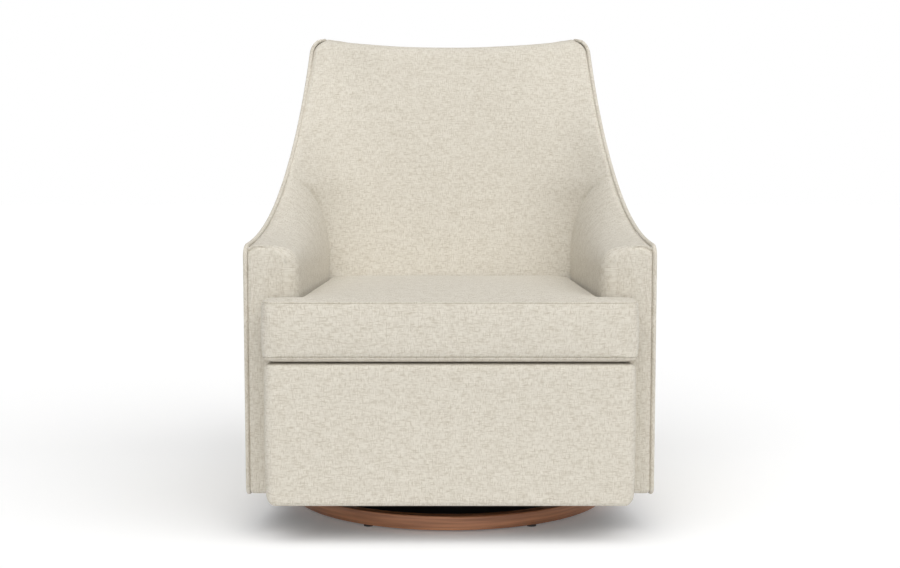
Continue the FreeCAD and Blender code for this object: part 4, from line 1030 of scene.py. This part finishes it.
# %% Sew and keep the arms
ARM_PAD = 8 * MM
across = run_length(arm[30])
along = np.append(shares * ARM_LONG, ARM_LONG + 10 * MM)
arm_weave = np.dstack(np.meshgrid(across, along)).reshape(-1, 2)
front_weave = np.column_stack([across[-1] + ARM_LOW - front_points[:, 1], inner_edge - front_points[:, 0]])
threads = np.vstack([arm_weave, front_weave])
arm_faces = grid_faces(*arm.shape[:2]) + [tuple(v + arm[..., 0].size for v in f) for f in front_faces]
arm_points = np.vstack([arm.reshape(-1, 3), front])
for name, hand in SIDES.items():
    cover = new_piece("arm_cover_" + name, arm_points * (hand, 1, 1), arm_faces, threads, linen)
    face_out(cover)
    inward = max(cover.data.polygons, key=lambda f: f.center.y - hand * f.center.x - f.center.z)
    if inward.normal.x * hand > 0:
        cover.data.flip_normals()
    thick = cover.modifiers.new("padding", "SOLIDIFY")
    thick.thickness = ARM_PAD
    thick.offset = -1
    settle(cover)
    face_out(cover)
    tell(cover)
    keep(cover, "chair_body", "linen_cover", "inside_arm_" + name, "arm_front_" + name, fill=0.85)

# %% [markdown]
# ## Outside back
# Behind, one panel closes the chair between the two rings of piping. Its upper edge follows the dip of
# the top, where it is sewn to the cover that comes over from the front.

# %% Outside back
def rear_half(z):
    return side_x(rear_depth(z), PANEL_INSET)


heights = np.linspace(COVER_LOW, crest_height(rear_half(HEIGHT)) - TOP_SEAM_DROP, 210)
right_edge = np.column_stack([rear_half(heights), heights])
low_half, high_half = right_edge[0, 0], right_edge[-1, 0]
xs = np.linspace(high_half, -high_half, 150)[1:-1]
top_edge = np.column_stack([xs, crest_height(xs) - TOP_SEAM_DROP])
xs = np.linspace(-low_half, low_half, 150)[1:-1]
base_edge = np.column_stack([xs, np.full(len(xs), COVER_LOW)])
ring = np.vstack([right_edge, top_edge, right_edge[::-1] * (-1, 1), base_edge])


def place(points, rise):
    y = Y_ARM + rear_depth(points[:, 1]) - 2 * MM + rise
    return round_top(np.column_stack([points[:, 0], y, points[:, 1]]))


cover = panel_piece("outside_back_cover", ring, place, crown=4 * MM, dip=2.5 * MM, thick=5 * MM, cloth=linen,
                    spacing=11 * MM, seed=9.0)
keep(cover, "chair_body", "linen_cover", "outside_back", fill=0.9)

# %% [markdown]
# ## Front border
# Below the cushion a padded border wraps the box between the arms: a front with rounded ends and two
# short returns. Its section turns in at the top and under at the bottom, where it is stapled.

# %% Front border
BORDER_HALF, BORDER_FRONT, BORDER_CORNER = 333 * MM, -416 * MM, 15 * MM
BORDER_TOP, BORDER_FOOT, BORDER_REAR = DECK_TOP - 4.6 * MM, BODY_BOTTOM + 0.6 * MM, Y_ARM - 0.5 * MM
TURN_IN, TURN_ROUND, BORDER_SWELL, END_RISE = 16 * MM, 8 * MM, 2.2 * MM, 45 * MM
plan = rounded_path([(-BORDER_HALF, BORDER_REAR), (-BORDER_HALF, BORDER_FRONT, BORDER_CORNER),
                     (BORDER_HALF, BORDER_FRONT, BORDER_CORNER), (BORDER_HALF, BORDER_REAR)],
                    4 * MM, closed=False)
along = unit_rows(np.gradient(plan, axis=0))
plan_out = np.column_stack([along[:, 1], -along[:, 0]])
section = rounded_path([(TURN_IN, BORDER_FOOT), (0, BORDER_FOOT, TURN_ROUND), (0, BORDER_TOP, TURN_ROUND),
                        (TURN_IN, BORDER_TOP)], 3 * MM, closed=False)
share = (section[:, 1] - BODY_BOTTOM) / (BORDER_TOP - BODY_BOTTOM)
swell = BORDER_SWELL * np.clip(4 * share * (1 - share), 0, 1) ** 0.6
beyond = np.maximum(np.abs(plan[:, 0]) - (BORDER_HALF - BORDER_CORNER), 0)
raised = BORDER_CORNER - np.sqrt(BORDER_CORNER ** 2 - np.minimum(beyond, BORDER_CORNER) ** 2)
border = np.zeros((len(section), len(plan), 3))
for r, (draw, z) in enumerate(section):
    border[r, :, :2] = plan + plan_out * (swell[r] - draw)
    border[r, :, 2] = z + raised * np.clip(1 - (z - BODY_BOTTOM) / END_RISE, 0, 1)
uneven = 0.6 * MM * wavy(border, 120 * MM, 6.0) * np.clip(20 * share * (1 - share), 0, 1)[:, None]
border[..., :2] += plan_out[None] * uneven[..., None]
cover = sheet_piece("front_border_cover", border, sheet_weave(border, len(plan) // 2), 5 * MM, linen)
keep(cover, "chair_body", "linen_cover", "front_border", fill=0.85)

# %% [markdown]
# ## Seat cushion
# The loose cushion has the shape of a T: two ears reach round the arm fronts. A boxing strip joins the
# top and bottom panels in two seams. The cover is sewn from those three pieces, then swollen by Cloth
# with pressure inside: the top seam and the underside are pinned, because that seam barely gives and the
# underside lies on the deck, and the rest fills out as foam fills a cover.

# %% Outline of the cushion
CUSHION_LOW, CUSHION_SEAM = DECK_TOP + 0.6 * MM, 443.6 * MM
EAR_HALF, EAR_FRONT, EAR_REAR = 341 * MM, -91 * MM, -3 * MM
FRONT_ROUND, EAR_ROUND, NOTCH_ROUND, REAR_ROUND = 20 * MM, 12 * MM, 4 * MM, 45 * MM
ARM_GAP, BACK_GAP = 3 * MM, 6 * MM
RIM = 440


def cushion_ring(z, draw):
    """The T outline at one height, drawn in all round."""
    rear = back_depth(z) - BACK_GAP - draw
    gap = ARM_GAP + draw
    right = [(EAR_HALF - draw, EAR_FRONT + draw, FRONT_ROUND), (EAR_HALF - draw, EAR_REAR - draw, EAR_ROUND),
             (arm_inner(0) - gap, EAR_REAR - draw, NOTCH_ROUND), (arm_inner(rear) - gap, rear, REAR_ROUND)]
    corners = right + [(-x, d, r) for x, d, r in reversed(right)]
    path = rounded_path([(x, Y_ARM + d, r) for x, d, r in corners], 3 * MM)
    rear_middle = np.argmax(path[:, 1] - MM * np.abs(path[:, 0]))
    path = np.roll(path, -rear_middle, 0)
    return resample(np.vstack([path, path[:1]]), RIM + 1)[:-1]


LOW_SEAM = 7 * MM
low_rises = np.array([0, 2, 4, 5.8, 7, 8.2, 10, 13, 18, 25, 34, 43]) * MM
high_falls = np.array([43, 33, 24, 17, 12, 8, 5, 2.8, 1.2, 0]) * MM
heights = np.concatenate([CUSHION_LOW + low_rises, CUSHION_SEAM - high_falls])
share = (heights - CUSHION_LOW) / (CUSHION_SEAM - CUSHION_LOW)
draws = 3.5 * MM - 2.0 * MM * np.clip(4 * share * (1 - share), 0, 1) ** 0.7
draws[:3] += np.array([7, 3, 0.8]) * MM
boxing = [np.insert(cushion_ring(z, draw), 2, z, axis=1) for z, draw in zip(heights, draws)]
print("boxing rows:", len(boxing), "perimeter points:", RIM)

# %% Sew the three pieces
SEAM_RINGS = (1.2 * MM, 2.8 * MM, 5.5 * MM, 10 * MM, 16 * MM)
START_CROWN, CROWN_REACH = 9 * MM, 30 * MM
top_points, top_faces, _ = filled(boxing[-1][:, :2], 8 * MM, SEAM_RINGS)
low_points, low_faces, _ = filled(boxing[0][:, :2], 12 * MM, SEAM_RINGS)
gap = edge_distance(top_points, boxing[-1][:, :2])[0]
crowned = CUSHION_SEAM + pillow(gap, START_CROWN, CROWN_REACH)
underside = np.full(len(low_points), CUSHION_LOW)
verts = boxing + [np.column_stack([top_points, crowned]), np.column_stack([low_points, underside])]
far = run_length(boxing[0])
laid = [np.column_stack([far, ring[:, 2]]) for ring in boxing] + [top_points, low_points]
first_top = len(boxing) * RIM
first_low = first_top + len(top_points)
faces = []
for r in range(len(boxing) - 1):
    for c in range(RIM):
        d = (c + 1) % RIM
        faces.append((r * RIM + c, r * RIM + d, (r + 1) * RIM + d, (r + 1) * RIM + c))
faces += [tuple(v + first_top for v in f) for f in top_faces]
faces += [tuple(v + first_low for v in reversed(f)) for f in low_faces]
cushion = new_piece("seat_cushion_cover", np.vstack(verts), faces, np.vstack(laid), linen)
face_out(cushion)
tell(cushion)

# %% Swell it with Cloth
CLOTH = {"quality": 6, "mass": 0.3, "tension_stiffness": 15, "compression_stiffness": 15,
         "shear_stiffness": 5, "bending_stiffness": 1.0, "use_pressure": True, "vertex_group_mass": "pinned"}
PRESSURE, FRAMES, TOUCH = 4.0, 20, 0.1 * MM


def places_of(mesh):
    flat = np.zeros(len(mesh.vertices) * 3, np.float32)
    mesh.vertices.foreach_get("co", flat)
    return flat.reshape(-1, 3).astype(float)


def swollen(piece, pinned):
    """Where Cloth with pressure takes each point of a closed piece while some points stay pinned."""
    group = piece.vertex_groups.new(name="pinned")
    group.add([int(k) for k in np.flatnonzero(pinned)], 1.0, "REPLACE")
    cloth = piece.modifiers.new("swell", "CLOTH")
    for key, value in CLOTH.items():
        setattr(cloth.settings, key, value)
    cloth.settings.uniform_pressure_force = PRESSURE
    cloth.settings.effector_weights.gravity = 0
    cloth.point_cache.frame_start = 1
    cloth.point_cache.frame_end = FRAMES
    for moment in range(1, FRAMES + 1):
        scene.frame_set(moment)
    result = places_of(piece.evaluated_get(bpy.context.evaluated_depsgraph_get()).to_mesh())
    piece.modifiers.clear()
    piece.vertex_groups.clear()
    scene.frame_set(1)
    return result


start = places_of(cushion.data)
on_top = start[:, 2] > CUSHION_SEAM + TOUCH
on_seam = np.abs(start[:, 2] - CUSHION_SEAM) < TOUCH
below = start[:, 2] < CUSHION_LOW + TOUCH
move = np.zeros_like(start)
move = swollen(cushion, on_seam | below) - start
far = np.linalg.norm(move, axis=1) / MM
print("Cloth moved the top by up to", np.round(far[on_top].max(), 1), "mm, the boxing by",
      np.round(far[~on_top].max(), 1))


# %% [markdown]
# The boxing may only swell a little, or the ears would press into the arms, and the crown is as high as
# the foam makes it. So the movement that Cloth gave is limited, and keeps its shape. Then the two seams
# are drawn in, and one Subdivision rounds the grooves.

# %% Limit the swelling and draw in the seams
SIDE_SWELL, TOP_SWELL, CROWN = 2.6 * MM, 26 * MM, 17.4 * MM
TOP_SEAM_DRAW, LOW_SEAM_DRAW = 5.5 * MM, 4.5 * MM


def limited(move, most):
    far = np.linalg.norm(move, axis=1, keepdims=True)
    return move * most * np.tanh(far / most) / np.maximum(far, 1e-9)


def move_points(mesh, places):
    mesh.vertices.foreach_set("co", places.astype(np.float32).ravel())
    mesh.update()


filled_out = start + np.where(on_top[:, None], limited(move, TOP_SWELL), limited(move, SIDE_SWELL))
rise = filled_out[on_top, 2] - CUSHION_SEAM
filled_out[on_top, 2] = CUSHION_SEAM + rise * CROWN / rise.max()
move_points(cushion.data, filled_out)
normals = np.zeros(start.size, np.float32)
cushion.data.vertex_normals.foreach_get("vector", normals)
low_seam = np.abs(start[:, 2] - CUSHION_LOW - LOW_SEAM) < TOUCH
filled_out -= normals.reshape(-1, 3) * (TOP_SEAM_DRAW * on_seam + LOW_SEAM_DRAW * low_seam)[:, None]
move_points(cushion.data, filled_out)
round_off = cushion.modifiers.new("round_off", "SUBSURF")
round_off.levels = 1
round_off.render_levels = 1
settle(cushion)
tell(cushion)
keep(cushion, "loose_cushion", "linen_cover", "seat_cushion", "cushion_core", fill=0.75)

# %% [markdown]
# ## Under the cushion
# The deck below the cushion is plain cotton duck, pulled tight over its padding. Under the chair a black
# dust cloth is stapled to the frame as four strips round the opening for the glide mechanism, and inside
# the back five woven straps carry the padding. All are hidden, yet they show when the cushion is lifted.

# %% Deck
DECK_HALF, DECK_FRONT, DECK_NOTCH, DECK_REAR = 324 * MM, -407 * MM, Y_ARM - 1 * MM, Y_ARM + 400 * MM
right = [(DECK_HALF, DECK_FRONT), (DECK_HALF, DECK_NOTCH), (292 * MM, DECK_NOTCH), (256 * MM, DECK_REAR)]
corners = right + [(-x, y) for x, y in reversed(right)]
ring = rounded_path([(x, y, 6 * MM) for x, y in corners], 5 * MM)


def place(points, rise):
    return np.column_stack([points, DECK_TOP - 3 * MM + rise])


cover = panel_piece("deck_cover", ring, place, crown=2.5 * MM, dip=1 * MM, thick=4 * MM, cloth=duck,
                    spacing=14 * MM, seed=12.0)
keep(cover, "chair_body", "deck_cloth", "seat_deck", fill=0.9)

# %% Dust cloth
DUST_Z, DUST_THICK = 93.2 * MM, 0.5 * MM
DUST_FRONT, DUST_REAR = Y_ARM + 44 * MM, 274 * MM
OPEN_X, OPEN_Y = 272 * MM, 263 * MM


def dust_strip(name, y0, y1, left, right):
    """A flat strip between two lines along Y; left and right give x at a depth."""
    ys = np.linspace(y0, y1, max(3, round((y1 - y0) / (12 * MM))))
    grid = np.zeros((len(ys), 24, 3))
    for r, y in enumerate(ys):
        grid[r, :, 0] = np.linspace(left(y - Y_ARM), right(y - Y_ARM), 24)
        grid[r, :, 1] = y
    grid[..., 2] = DUST_Z - DUST_THICK * (1 + wavy(grid, 60 * MM, 8.0))
    strip = sheet_piece(name, grid, grid[..., :2], DUST_THICK, cambric)
    keep(strip, "chair_body", "dust_cloth", "dust_cover")
    wide = right((y0 + y1) / 2 - Y_ARM) - left((y0 + y1) / 2 - Y_ARM)


def dust_edge(d):
    return side_x(d, PAD_SIDE)


def dust_edge_left(d):
    return -dust_edge(d)


dust_strip("dust_cloth_front", DUST_FRONT, -OPEN_Y, dust_edge_left, dust_edge)
dust_strip("dust_cloth_rear", OPEN_Y, DUST_REAR, dust_edge_left, dust_edge)
dust_strip("dust_cloth_right", -OPEN_Y, OPEN_Y, lambda d: OPEN_X, dust_edge)
dust_strip("dust_cloth_left", -OPEN_Y, OPEN_Y, dust_edge_left, lambda d: -OPEN_X)

# %% Straps in the back
STRAPS, STRAP_PITCH, STRAP_BEHIND = 5, 100 * MM, 65 * MM
STRAP_LOW, STRAP_HIGH = 40 * MM, 485.6 * MM
up_back = np.array([0, math.sin(LEAN), math.cos(LEAN)])
behind = np.array([0, math.cos(LEAN), -math.sin(LEAN)])
foot = np.array([0, Y_ARM + BACK_START, BACK_START_Z]) + STRAP_BEHIND * behind
middle_strap = foot + np.linspace(STRAP_LOW, STRAP_HIGH, 12)[:, None] * up_back
strap_lines = [middle_strap + ((k - STRAPS // 2) * STRAP_PITCH, 0, 0) for k in range(STRAPS)]
straps = grow("back_straps", strap_lines, strap_tree, strap_weave, closed=False)
keep(straps, "chair_body", "webbing", "back_webbing")
